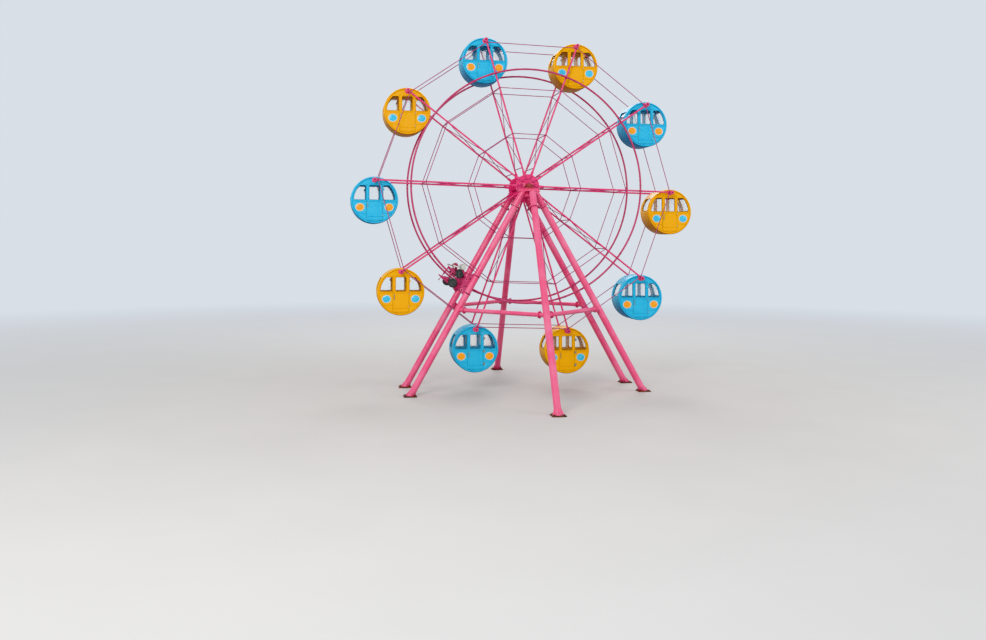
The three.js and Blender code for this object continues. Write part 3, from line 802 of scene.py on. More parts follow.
def sideWindowOutline(side, steps=8):
    # A D shape: its outer edge is an arc about the middle of the drum.
    window = cabin["sideWindow"]
    first = math.asin(window["low"] / window["outer"])
    last = math.asin(window["high"] / window["outer"])
    corners = [(window["inner"], window["low"])]
    for i in range(steps + 1):
        angle = first + (last - first) * i / steps
        corners.append((window["outer"] * math.cos(angle), window["outer"] * math.sin(angle)))
    corners.append((window["inner"], window["high"]))
    bends = [cabin["windowCorner"], 0.04] + [0] * (steps - 1) + [0.05, cabin["windowCorner"]]
    if side < 0:
        corners = mirrored(corners)
        bends.reverse()
    return roundedOutline(corners, bends)


doorOutline = boxOutline(*cabin["door"], cabin["doorCorner"])
doorWindow = boxOutline(*cabin["doorWindow"], cabin["windowCorner"])
flankWindow = boxOutline(*cabin["flankWindow"], cabin["flankCorner"])
sideWindows = {hand: sideWindowOutline(hand) for hand in (-1, 1)}


def onFace(side):  # places (x, z, depth proud of the face)
    return lambda x, z, depth: Vector((x, side * (cabin["half"] + depth), z - cabin["drop"]))


def onFlank(side):  # places (y, z, x)
    return lambda y, z, x: Vector((side * x, side * y, z - cabin["drop"]))


def drumProfile():
    # A flat face, a groove round it and a rolled lip that runs into the flank.
    radius = cabin["radius"]
    face = [
        (0, 0), (0, 0.876), (0.004, 0.880), (0.016, 0.882), (0.016, 0.895), (0.002, 0.899), (-0.010, 0.905),
        (-0.015, 0.916), (-0.014, 0.930), (-0.007, 0.943), (0.006, 0.954), (0.022, radius + 0.003),
        (0.050, radius + 0.003), (0.056, radius - 0.003), (0.064, radius),
    ]
    face = [(inward - cabin["half"], out) for inward, out in face]
    flank = [(-0.024, radius), (-0.017, radius + 0.007), (0.017, radius + 0.007), (0.024, radius)]
    return face + flank + mirrored(face)


def solidObject(name, bm):
    bmesh.ops.recalc_face_normals(bm, faces=bm.faces)
    mesh = bpy.data.meshes.new(name)
    bm.to_mesh(mesh)
    bm.free()
    return newObject(name, mesh)


def cutBy(target, cutters):
    for index, cutter in enumerate(cutters):
        modifier = target.modifiers.new(f"cut{index}", "BOOLEAN")
        modifier.object = cutter
        modifier.operation = "DIFFERENCE"
        modifier.solver = "EXACT"
    bpy.context.view_layer.update()
    shape = bpy.data.meshes.new_from_object(target.evaluated_get(bpy.context.evaluated_depsgraph_get()))
    for used in [target] + cutters:
        bpy.data.objects.remove(used)
    bm = bmesh.new()
    bm.from_mesh(shape)
    bpy.data.meshes.remove(shape)
    return bm


def cabinShell(hasLooseDoor):
    centre = Vector((0, 0, -cabin["drop"]))
    outer, room, windows = newShapes(3)
    turnedShape(outer, centre, (0, 1, 0), drumProfile(), 120)
    deep, wide = cabin["half"] - cabin["wall"], cabin["radius"] - cabin["wall"]
    inside = [(deep - 0.03, wide), (deep, wide - 0.04)]
    turnedShape(room, centre, (0, 1, 0), mirrored(inside) + inside, 96)
    floorPoint = Vector((0, 0, cabin["floor"] - cabin["drop"]))
    everything = room.verts[:] + room.edges[:] + room.faces[:]
    cut = bmesh.ops.bisect_plane(room, geom=everything, plane_co=floorPoint, plane_no=up, clear_inner=True)
    bmesh.ops.holes_fill(room, edges=[e for e in cut["geom_cut"] if isinstance(e, bmesh.types.BMEdge)])
    through = (-0.06, 0.04)
    groove = [(0, -0.014), (0, 0.03), (0.010, 0.03), (0.010, -0.014)]
    for side in (-1, 1):
        place = onFace(side)
        if hasLooseDoor and side < 0:
            outlinePlate(windows, offsetOutline(doorOutline, 0.006), *through, place)
        else:
            outlinePlate(windows, doorWindow, *through, place)
            outlineFrame(windows, doorOutline, groove, place)
        for outline in sideWindows.values():
            outlinePlate(windows, outline, *through, place)
        outlinePlate(windows, flankWindow, 0.62, 1.1, onFlank(side))
    return cutBy(solidObject("outer", outer), [solidObject("room", room), solidObject("windows", windows)])


# Corners of the seal that holds a pane, as (offset, depth)
sealSection = [(-0.007, -0.040), (-0.007, -0.026), (0.001, -0.022), (0.001, -0.040)]


def lipSection(height=0.012):  # the rounded lip of a window
    return [
        (0.002, -0.002), (0.004, height * 0.55), (0.009, height), (0.017, height), (0.023, height * 0.55),
        (0.026, -0.002),
    ]


def addDoorTrim(paint, seal, place):
    # The window's lip and seal, two stiles beside it, the pressed border, the lower crease and the belt.
    outlineFrame(paint, doorWindow, lipSection(), place)
    outlineFrame(seal, doorWindow, sealSection, place)
    left, right, bottom, top = cabin["door"]
    for hand in (-1, 1):
        stile = (*span(hand, 0.254, 0.312), cabin["belt"] + 0.02, top - 0.03)
        slab(paint, stile, 0.02, -0.002, 0.009, place, 0.006)
    border = boxOutline(left + 0.03, right - 0.03, bottom + 0.035, cabin["belt"] - 0.02, 0.04)
    outlineFrame(paint, border, [(0, -0.002), (0.002, 0.006), (0.010, 0.006), (0.012, -0.002)], place)
    for z, half in ((cabin["doorCrease"], 0.008), (cabin["belt"], 0.014)):
        slab(paint, (left + 0.012, right - 0.012, z - half, z + half), 0.006, -0.002, 0.010, place, 0.005)


def addHandle(bare, place, side):
    # A pull handle with its two feet, on the edge away from the hinges.
    x, top, bottom = cabin["handle"]
    x *= -side
    rod(bare, place(x, top, 0.034), place(x, bottom, 0.034), 0.010, 12)
    for z in (top, bottom):
        slab(bare, (x - 0.022, x + 0.022, z - 0.022, z + 0.022), 0.01, -0.001, 0.006, place, 0.002)
        rod(bare, place(x, z, 0.0), place(x, z, 0.040), 0.009, 10)


def addHinge(paint, hinges, place, hand, z):
    # Painted leaves and a bright barrel on the seam beside the door.
    barrel = cabin["hingeBarrel"]
    half = barrel["half"] - 0.005
    for near, far in cabin["hingeLeaves"]:
        slab(paint, (*span(hand, near, far), z - half, z + half), 0.008, 0, 0.015, place, 0.002)
    ends = [place(hand * barrel["across"], z + turn * barrel["half"], barrel["proud"]) for turn in (-1, 1)]
    rod(hinges, *ends, barrel["radius"], 14)


def addHingeBracket(hinges, place, z):
    # The fixed half of a loose door's hinge: two lugs with the pin between them, on a plate.
    hx, hy = cabin["hinge"]
    for turn in (-1, 1):
        lug = (hx - 0.012, hx + 0.012, *sorted((z + turn * 0.032, z + turn * 0.052)))
        slab(hinges, lug, 0.003, -0.004, 0.034, place, 0.001)
    base = Vector((hx, hy, z - cabin["drop"]))
    rod(hinges, base - up * 0.046, base + up * 0.046, 0.009, 16)
    for near, far, proud in ((0.018, 0.060, 0.010), (-0.012, 0.030, 0.005)):
        slab(hinges, (hx + near, hx + far, z - 0.055, z + 0.055), 0.008, 0, proud, place, 0.001)


def addLamp(disc, trim, place, x, side):
    # A domed lamp disc inside a raised pale ring.
    r, ring, spot = cabin["lampRadius"], cabin["lampRing"], place(x, cabin["lampPlace"][1], -0.002)
    made = len(disc.verts), len(trim.verts)
    dome = [(0, r), (0.006, r), (0.016, r * 0.82), (0.024, r * 0.5), (0.027, 0)]
    turnedShape(disc, spot, axisOf(side), dome, 48)
    hoop = [
        (0, r - 0.004), (0.012, r - 0.002), (0.018, r + 0.006),
        (0.016, ring - 0.005), (0.008, ring), (0, ring),
    ]
    pipe(trim, spot, axisOf(side), hoop, 56)
    for bm, first in zip((disc, trim), made):
        bm.verts.ensure_lookup_table()
        for vert in bm.verts[first:]:
            vert.co.x = x + (vert.co.x - x) * cabin["lampStretch"]


def addFlankWindow(paint, seal, side):
    # The lip and seal of the window in the round flank, bent to the drum.
    bend = onFlank(side)
    for bm, section in ((paint, lipSection()), (seal, sealSection)):
        rings = []
        for offset, proud in section:
            radius = cabin["radius"] + proud
            points = offsetOutline(flankWindow, offset)
            rings.append([bend(p.x, p.y, math.sqrt(radius ** 2 - p.y ** 2)) for p in points])
        skin(bm, rings, True)


def addTrunnion(pink, bare, side):
    # A bolted round pad, a stepped boss and the pin that the cabin hangs on.
    axis, (pad, width) = axisOf(side), cabin["pad"]
    pivot = axis * cabin["half"]
    back = pivot - axis * 0.004
    flange(pink, back, axis, pad, width)
    turnedShape(pink, pivot, axis, [(0, 0.080), (0.02, 0.066), (0.150, 0.060), (0.2085, 0.056)], 32)
    turnedShape(bare, pivot, axis, [(0.2, 0.0295), (0.300, 0.0295), (0.307, 0.024)], 24)
    boltCircle(bare, back + axis * width, axis, *cabin["padBolts"])


def cabinMesh(name, shellPaint, discPaint, hasLooseDoor):
    shell = cabinShell(hasLooseDoor)
    extra, disc, seal, bare, trim, pink, hinges = newShapes(7)
    seam = [(0.001, -0.015), (0.001, -0.005), (0.009, -0.005), (0.009, -0.015)]
    for side in (-1, 1):
        place = onFace(side)
        boarding = hasLooseDoor and side < 0
        for hand, outline in sideWindows.items():
            lip = lipSection(0.0055 if boarding and hand > 0 else 0.012)  # low beside the hinge knuckles
            outlineFrame(extra, outline, lip, place)
            outlineFrame(seal, outline, sealSection, place)
            addLamp(disc, trim, place, hand * cabin["lampPlace"][0], side)
            # the belt under the windows and the moulded crease below the lamps
            for z, half, reach in ((cabin["belt"], 0.014, 0.872), (cabin["crease"], 0.009, 0.700)):
                band = (*span(hand, 0.345, reach), z - half, z + half)
                slab(extra, band, 0.006, -0.002, 0.011, place, 0.005)
        if not boarding:
            addDoorTrim(extra, seal, place)
            outlineFrame(seal, doorOutline, seam, place)
            addHandle(hinges, place, side)
        for z in cabin["hingeHeights"]:
            if boarding:
                addHingeBracket(hinges, place, z)
            else:
                addHinge(extra, hinges, place, -side, z)
        addFlankWindow(extra, seal, side)
        addTrunnion(pink, bare, side)
    return meshFrom(name, [
        (shell, shellPaint), (extra, shellPaint), (disc, discPaint), (trim, paleTrim),
        (seal, sealRubber), (bare, darkBolt), (pink, pinkLegs), (hinges, hingeSteel),
    ])


def addPanes(glass, outlines, side):
    for outline in outlines:
        outlinePlate(glass, offsetOutline(outline, -0.001), *cabin["pane"], onFace(side))


def cabinPaneMesh(hasLooseDoor):
    glass = bmesh.new()
    low, high, bottom, top = cabin["flankWindow"]
    for side in (-1, 1):
        addPanes(glass, sideWindows.values(), side)
        if not (hasLooseDoor and side < 0):
            addPanes(glass, [doorWindow], side)
        # the curved pane of the flank
        rings = []
        for i in range(cabin["paneSteps"] + 1):
            z = bottom + 0.001 + (top - bottom - 0.002) * i / cabin["paneSteps"]
            inner, outer = (math.sqrt((cabin["radius"] + depth) ** 2 - z * z) for depth in cabin["pane"])
            corners = ((low, inner), (high, inner), (high, outer), (low, outer))
            rings.append([onFlank(side)(y, z, x) for y, x in corners])
        skin(glass, rings)
    return meshFrom("panes", [(glass, windowGlass)])


def doorPaneMesh():
    glass = bmesh.new()
    addPanes(glass, [doorWindow], -1)
    return meshFrom("doorPane", [(glass, windowGlass)])


def doorMesh(name, shellPaint):
    paint, seal, hinges = newShapes(3)
    place = onFace(-1)
    # the leaf as a plate with a window: both outlines have the same count of points
    section = [
        (doorOutline, -0.004, -0.0385), (doorOutline, 0, -0.034), (doorOutline, 0, -0.004),
        (doorOutline, -0.004, 0.0), (doorWindow, 0, 0.0), (doorWindow, 0, -0.0385),
    ]
    skin(paint, [outlineRing(outline, offset, depth, place) for outline, offset, depth in section], True)
    addDoorTrim(paint, seal, place)
    addHandle(hinges, place, -1)
    hx, hy = cabin["hinge"]
    bore, radius, half = cabin["knuckle"].values()
    for z in cabin["hingeHeights"]:
        slab(paint, (hx - 0.080, hx - 0.02, z - half, z + half), 0.006, 0, 0.015, place, 0.001)
        slab(hinges, (hx - 0.03, hx - 0.004, z - half, z + half), 0.002, 0.003, 0.016, place, 0.001)
        knuckle = [(0, bore), (0, radius), (2 * half, radius), (2 * half, bore)]
        pipe(hinges, (hx, hy, z - half - cabin["drop"]), up, knuckle, 20)
    return meshFrom(name, [(paint, shellPaint), (seal, sealRubber), (hinges, hingeSteel)])


cabinShapes = {}
paneShapes = {loose: cabinPaneMesh(loose) for loose in (False, True)}
for number in range(wheel["spokes"]):
    yellow, loose = number % 2 == 0, number + 1 in boardingCabins
    colour, shellPaint, discPaint = (
        ("yellow", yellowShell, skyBlueDisc) if yellow else ("blue", blueShell, orangeDisc)
    )
    if (colour, loose) not in cabinShapes:
        cabinShapes[colour, loose] = cabinMesh(f"cabin_{colour}", shellPaint, discPaint, loose)
    place = Matrix.Translation(pivotOf(number))
    body, node = f"cabin_body_{number + 1}", f"cabin_{number + 1}"
    addPiece(f"{node}_shell", cabinShapes[colour, loose], body, [node], place)
    addPiece(f"{node}_panes", paneShapes[loose], body, matrix=place)
    if loose:
        doorBody = f"door_body_{number + 1}"
        leaf = doorMesh(f"{node}_leaf", shellPaint)
        addPiece(f"{node}_door_leaf", leaf, doorBody, [f"{node}_door"], place)
        addPiece(f"{node}_door_pane", doorPaneMesh(), doorBody, matrix=place)
print("cabins made")


# Stand
stand = {
    "sideTop": (0.12, 1.12),
    "centreTopY": 1.63,
    "sideFoot": (4.87, 1.25),
    "centreFootY": 6.27,
    "tube": 0.1365,
    "sideCollar": 0.95,
    "centreCollar": 1.04,
    "collarRadius": 0.20,
    "collarWidth": 0.030,
    "collarBolts": (0.170, 12, 0.015),
    "plate": 0.52,
    "plateHeight": 0.04,
    "gussetHeight": 0.22,
    "tieHeight": 3.45,
    "tieTube": 0.085,
    "tieStub": 0.33,
    "tieFlange": 0.14,
    "tieFlangeWidth": 0.0238,
    "tieBolts": (0.114, 8, 0.012),
    "jointShares": (0.36, 0.7),
    "faceGap": 0.0005,
}
legPlaces = ("left", "right", "centre")


def legEnds(side, place):
    # The ends of a leg's middle line, its direction and how far down it its collar starts.
    hub = wheel["hub"].z
    (topX, topY), (footX, footY), collar = stand["sideTop"], stand["sideFoot"], stand["sideCollar"]
    hand = -1 if place == "left" else 1
    if place == "centre":
        hand, topY, footY, collar = 0, stand["centreTopY"], stand["centreFootY"], stand["centreCollar"]
    top, foot = Vector((hand * topX, side * topY, hub)), Vector((hand * footX, side * footY, 0))
    return top, foot, (foot - top).normalized(), collar


def legPoint(side, place, height):
    top, foot, _, _ = legEnds(side, place)
    return top.lerp(foot, 1 - height / wheel["hub"].z)


def tieRun(side, place):
    start = legPoint(side, place, stand["tieHeight"])
    end = legPoint(side, "centre", stand["tieHeight"])
    return start, end, (end - start).normalized()


def levelCutTube(bm, start, along, height, radius, sides=56):
    # A tube from a square end to a level cut at the given height.
    direction, rays = raysRound(along, sides)
    square = [start + ray * radius for ray in rays]
    skin(bm, [square, [p + direction * ((height - p.z) / direction.z) for p in square]])


def addTieEnd(paint, bolts, face, outward):
    # The bolting flange of a tie, with its face at one end and its tube running outward.
    width = stand["tieFlangeWidth"]
    flange(paint, face, outward, stand["tieFlange"], width, 36)
    weld(paint, face + outward * (width + 0.002), outward, stand["tieTube"], 0.008, 32)
    boltCircle(bolts, face + outward * width, outward, *stand["tieBolts"], 0.02)


def addBranch(paint, bolts, start, along):
    # A stub tube welded to a leg, with its bolting flange.
    face = start + along * stand["tieStub"]
    rod(paint, start, face, stand["tieTube"], 32)
    addTieEnd(paint, bolts, face, -along)
    weld(paint, start + along * 0.145, along, stand["tieTube"], 0.010, 32)


def addFoot(paint, plate, bolts, foot, along):
    # A base plate, four fins against the tube, anchor bolts and their levelling nuts.
    half, height, rise = stand["plate"] / 2, stand["plateHeight"], stand["gussetHeight"]

    def onGround(x, y, z):
        return Vector((foot.x + x, foot.y + y, z))

    inset = half - 0.001
    slab(plate, (-inset, inset, -inset, inset), 0.02, 0.001, height - 0.001, onGround, 0.004)
    base = onGround(0, 0, height - 0.002)
    lean = Vector((along.x, along.y, 0)) / along.z * rise + up * rise
    for x, y in ((1, 0), (-1, 0), (0, 1), (0, -1)):
        ray = Vector((x, y, 0))
        fin(paint, (base + ray * 0.10, base + ray * (half - 0.045), base + ray * 0.135 + lean), 0.020)
    reach = half - 0.075
    for x, y in ((-1, -1), (-1, 1), (1, -1), (1, 1)):
        hexBolt(bolts, onGround(x * reach, y * reach, height - 0.001), up, 0.026, 0.050)


def legMesh(side, place):
    paint, bolts, plate = newShapes(3)
    top, foot, along, collar = legEnds(side, place)
    tube, width = stand["tube"], stand["collarWidth"]
    start = top + along * (collar + stand["faceGap"])
    levelCutTube(paint, start, along, stand["plateHeight"] - 0.002, tube)
    flange(paint, start, along, stand["collarRadius"], width, 48)
    weld(paint, start + along * (width + 0.002), along, tube, 0.010, 48)
    boltCircle(bolts, start + along * width, along, *stand["collarBolts"], 0.03)
    for share in stand["jointShares"]:  # ring welds where the tube lengths meet
        weld(paint, start.lerp(foot, share), along, tube - 0.002, 0.005, 48)
    addFoot(paint, plate, bolts, foot, along)
    for neighbour in ("left", "right"):
        start, end, out = tieRun(side, neighbour)
        if place == "centre":
            addBranch(paint, bolts, end, -out)
        elif place == neighbour:
            addBranch(paint, bolts, start, out)
    return meshFrom("leg", [(paint, pinkLegs), (bolts, darkBolt), (plate, plateSteel)])


def tieMesh(side, place):
    paint, bolts = newShapes(2)
    start, end, along = tieRun(side, place)
    inset = along * (stand["tieStub"] + stand["faceGap"])
    rod(paint, start + inset, end - inset, stand["tieTube"], 36)
    addTieEnd(paint, bolts, start + inset, along)
    addTieEnd(paint, bolts, end - inset, -along)
    return meshFrom("tie", [(paint, pinkLegs), (bolts, darkBolt)])


# The bearing on its beam, above a head plate that joins the three sockets; depths are from the middle
head = {
    "plate": (0.45, 0.985, 1.265),
    "tongue": (0.20, 1.93),
    "plateLevels": (8.281, 8.309),
    "beam": (0.42, 1.003, 1.247),
    "beamLevels": (8.309, 8.428),
    "beamBolts": 0.34,
    "ribs": (-0.40, -0.24, -0.08, 0.08, 0.24, 0.40),
    "foot": (0.18, 0.035),
    "bearing": (0.104, 1.002, 1.178),
    "webBack": (1.12, 1.144),
    "webLow": 8.003,
    "webArch": 8.082,
    "footBolt": 0.148,
}


def bearingOutline():
    # A foot, a waist and the round housing above it.
    reach, hub = head["bearing"][0], wheel["hub"].z
    halfFoot, thick = head["foot"]
    base = head["beamLevels"][1]
    level = base + thick
    right = [
        (halfFoot, base), (halfFoot, level - 0.006), (halfFoot - 0.008, level),
        (reach + 0.022, level + 0.003), (reach + 0.006, level + 0.012), (reach, level + 0.035),
    ]
    dome = [(reach * math.cos(a), hub + reach * math.sin(a)) for a in (math.pi * i / 20 for i in range(21))]
    return [Vector(p) for p in right + dome + mirrored(right)]


def addBearing(cast, bolts, side):
    reach, near, far = head["bearing"]
    hub, axis = wheel["hub"], axisOf(side)
    footTop = head["beamLevels"][1] + head["foot"][1]
    outlinePlate(cast, bearingOutline(), *span(side, near, far), faceXZ, 0.006)
    # seals round the shaft inside, a bolted end cover outside, and a grease nipple on top
    pipe(cast, hub + axis * (near - 0.006), axis, [(0, 0.066), (0, 0.088), (0.008, 0.092), (0.008, 0.066)])
    cover = [(0, 0.088), (0.006, 0.086), (0.010, 0.070), (0.014, 0.040), (0.014, 0)]
    turnedShape(cast, hub + axis * far, axis, cover, 40)
    boltCircle(bolts, hub + axis * (far + 0.003), axis, 0.078, 6, 0.007)
    nipple = [(0, 0.010), (0.010, 0.010), (0.012, 0.005), (0.026, 0.005)]
    turnedShape(cast, hub + axis * (near + far) / 2 + up * (reach - 0.002), up, nipple, 12)
    for turn in (-1, 1):  # the split between the cap and the base, with its bolted ears
        ear = (*span(turn, reach - 0.01, reach + 0.050), hub.z - 0.045, hub.z + 0.030)
        slab(cast, ear, 0.012, *span(side, near + 0.035, far - 0.035), faceXZ, 0.004)
        for depth in (near + 0.060, far - 0.060):
            hexBolt(bolts, Vector((turn * (reach + 0.024), side * depth, hub.z + 0.028)), up, 0.013, 0.022)
            hexBolt(bolts, Vector((turn * head["footBolt"], side * depth, footTop)), up, 0.0176, 0.03)


def bearingHeadMesh(side):
    paint, bolts, cast = newShapes(3)
    low, high = head["plateLevels"]
    halfWidth, near, far = head["plate"]
    tongue, tongueFar = head["tongue"]
    right = [(halfWidth, near), (halfWidth, far), (tongue, far), (tongue, tongueFar)]
    place = onLevel(side)
    outlinePlate(paint, roundedOutline(right + mirrored(right), 0.02), low, high, place, 0.003)
    # the beam: a top and a bottom flange, a web and stiffeners
    width, near, far = head["beam"]
    bottom, top = head["beamLevels"]
    for inset, rim, lower, upper in (
        (0, 0, bottom, bottom + 0.018), (0, 0, top - 0.020, top), (0.004, 0.03, bottom + 0.01, top - 0.01),
    ):
        box = (inset - width, width - inset, near + rim, far - rim)
        slab(paint, box, 0.012, lower, upper, place, 0.004)
    for x in head["ribs"]:
        box = (x - 0.007, x + 0.007, near + 0.004, far - 0.004)
        slab(paint, box, 0, bottom + 0.012, top - 0.012, place)
    for x in (-head["beamBolts"], head["beamBolts"]):
        for y in (near + 0.05, far - 0.05):
            hexBolt(bolts, place(x, y, top - 0.001), up, 0.018, 0.02)
    addBearing(cast, bolts, side)
    for leg in legPlaces:
        start, _, along, collar = legEnds(side, leg)
        end, tube, back = start + along * collar, stand["tube"], -along * stand["collarWidth"]
        levelCutTube(paint, end - along * 0.01, along, low + 0.002, tube)
        flange(paint, end + back, along, stand["collarRadius"], stand["collarWidth"] - stand["faceGap"], 48)
        weld(paint, end + back - along * 0.002, along, tube, 0.010, 48)
        boltCircle(bolts, end + back, -along, *stand["collarBolts"])
    # an arched web between the side sockets and a rib back to the centre socket
    inside, webLow, arch = low + 0.008, head["webLow"], head["webArch"]
    wide = [legPoint(side, "right", z).x for z in (inside, webLow)]
    back = [abs(legPoint(side, "centre", z).y) for z in (inside, webLow)]
    right = [(tongue - 0.06, arch), (tongue + 0.04, arch - 0.024), (wide[1], webLow), (wide[0], inside)]
    web = [Vector(p) for p in right + mirrored(right)]
    outlinePlate(paint, web, *span(side, *head["webBack"]), faceXZ)
    start = head["webBack"][0]
    rib = [Vector(p) for p in ((start, arch), (back[1], webLow), (back[0], inside), (start, inside))]
    outlinePlate(paint, rib, -0.012, 0.012, lambda y, z, x: place(x, y, z))
    return meshFrom("bearingHead", [(paint, pinkLegs), (bolts, darkBolt), (cast, castPaint)])


for label, side in sideOf.items():
    for place in legPlaces:
        node = f"{label}_{place}_leg"
        addPiece(f"{node}_tube", legMesh(side, place), "stand", [node])
    for place in ("left", "right"):
        node = f"{label}_{place}_tie"
        addPiece(f"{node}_tube", tieMesh(side, place), "stand", [node])
    housing = bearingHeadMesh(side)
    addPiece(f"{label}_bearing_housing", housing, "stand", [f"{label}_bearing_head"])
print("stand made")


# Tyre drives on the left legs, with places as (x, z)
drive = {
    "angle": 231.9,
    "tyre": 0.19,
    "width": 0.10,
    "gap": 0.005,
    # grooves of the tread as (start, width), and their section as (share of the width, depth)
    "grooves": ((-0.030, 0.008), (-0.003, 0.006), (0.022, 0.008)),
    "grooveSection": ((0, 0.001), (0.2, 0.009), (0.8, 0.009), (1, 0.001)),
    "rimSides": 60,
    "armPlane": 0.85,
    "armThick": 0.02,
    "armWidth": 0.116,
    "bossRadius": 0.057,
    "armPinInset": 0.004,
    "nut": (0.981, 0.996, 0.040),
    "motorArm": (1.01, 1.04, 0.078),
    "armTail": 0.30,
    "bracketPlane": 1.07,
    "bracketStep": 0.13,
    "bracketThick": 0.03,
    "innerPivot": (-2.600, 4.686),
    "outerPivot": (-2.803, 4.259),
    "motor": (-2.760, 5.180),
    "motorFins": 28,
    "finThick": 0.0044,
    "pin": 0.0245,
    "ringBoss": 0.064,
    "clamp": {"heights": (4.14, 4.84), "thick": 0.012, "width": 0.06, "bolt": 0.045},
    "rod": {"plane": 1.020, "radius": 0.015, "above": 0.05, "below": 0.19, "sleeve": (0.06, 0.36, 0.032)},
    "yoke": {"reach": (-0.048, 0.118), "bridge": (0.032, 0.040)},
    "guard": {"from": (-3.105, 5.262), "to": (-2.665, 5.128), "near": 0.895, "far": 1.006, "lip": 0.042},
}
armFar = drive["armPlane"] + drive["armThick"]


def rimSpot(radius):
    angle = math.radians(drive["angle"])
    return Vector((radius * math.cos(angle), wheel["hub"].z + radius * math.sin(angle)))


tyreOffset = wheel["rimTube"] + drive["tyre"] + drive["gap"]
innerTyre = rimSpot(wheel["rimRadius"] * math.cos(math.pi / drive["rimSides"]) - tyreOffset)
outerTyre = rimSpot(wheel["rimRadius"] + tyreOffset)


def sidePoint(side, spot, depth):
    return Vector((spot[0], side * depth, spot[1]))


def armTail(pivot, tyre):
    return tyre + (tyre - Vector(pivot)).normalized() * drive["armTail"]


def tyreMesh(side, spot):
    rubber, steel, bolts = newShapes(3)
    centre, axis = sidePoint(side, spot, wheel["rimPlane"]), axisOf(side)
    radius, half = drive["tyre"], drive["width"] / 2
    shoulder = [
        (half * 0.70, 0.110), (half, 0.128), (half, 0.156), (half * 0.86, 0.178),
        (half * 0.6, radius - 0.004),
    ]
    tread = []
    for start, width in drive["grooves"]:
        tread += [(start + width * share, radius - depth) for share, depth in drive["grooveSection"]]
    pipe(rubber, centre, axis, mirrored(shoulder)[::-1] + tread + shoulder[::-1], 56)
    face = [(half * 0.78, 0.104), (half * 0.80, 0.117), (half * 0.62, 0.113)]
    bowl = [(0.012, 0.096), (0.012, 0.062), (0.0502, 0.058), (0.0502, 0.028)]
    pipe(steel, centre, axis, mirrored(face)[::-1] + face[::-1] + bowl + mirrored(bowl))
    for turn in (-1, 1):
        boltCircle(bolts, centre + axis * turn * 0.012, axis * turn, 0.079, 5, 0.009)
    return meshFrom("tyre", [(rubber, tyreRubber), (steel, wheelPaint), (bolts, darkBolt)])


def addArm(paint, bolts, side, pivot, tyre):
    # A strap on the wheel's side of the tyre, with a long boss at its pin and the tyre's axle and nut.
    axis, radius, pin = axisOf(side), drive["bossRadius"], drive["pin"]
    end = drive["bracketPlane"] - stand["faceGap"]
    strap = span(side, drive["armPlane"], armFar)
    plateBetween(paint, pivot, armTail(pivot, tyre), drive["armWidth"], *strap, 0.004)
    base, hub = sidePoint(side, pivot, 0), sidePoint(side, tyre, 0)
    boss = [(armFar - 0.002, radius), (end - 0.003, radius), (end, radius - 0.005)]
    turnedShape(paint, base, axis, boss, 32)
    weld(paint, base + axis * armFar, axis, radius, 0.008, 32)
    start, end, size = drive["nut"]
    turnedShape(bolts, hub, axis, [(armFar - 0.002, pin), (end - 0.004, pin), (end, pin - 0.004)], 24)
    turnedShape(bolts, hub, axis, [(armFar - 0.001, 0.036), (armFar + 0.007, 0.036)], 24)
    nut = [(start, size * 0.96), (start + 0.002, size), (end - 0.005, size), (end - 0.002, 0.034)]
    turnedShape(bolts, hub, axis, nut, 6)


def outerArmMesh(side):
    paint, bolts = newShapes(2)
    pivot, tyre, axis = drive["outerPivot"], outerTyre, axisOf(side)
    addArm(paint, bolts, side, pivot, tyre)
    # a yoke on the tail, a base and a bridge on two posts, that leaves the tension rod room to tilt
    along = (tyre - Vector(pivot)).normalized()
    low, high = (drive["rod"]["plane"] + step for step in drive["yoke"]["bridge"])
    ends = [armTail(pivot, tyre) + along * reach for reach in drive["yoke"]["reach"]]
    for near, top in ((armFar - 0.001, armFar + 0.008), (low, high)):
        plateBetween(paint, *ends, 0.05, *span(side, near, top), 0.002)
    for spot in ends:
        foot = sidePoint(side, spot, 0)
        rod(paint, foot + axis * armFar, foot + axis * (low + 0.002), 0.013, 16)
        hexBolt(bolts, foot + axis * (high - 0.001), axis, 0.014)
    return meshFrom("outerArm", [(paint, rimPaint), (bolts, darkBolt)])


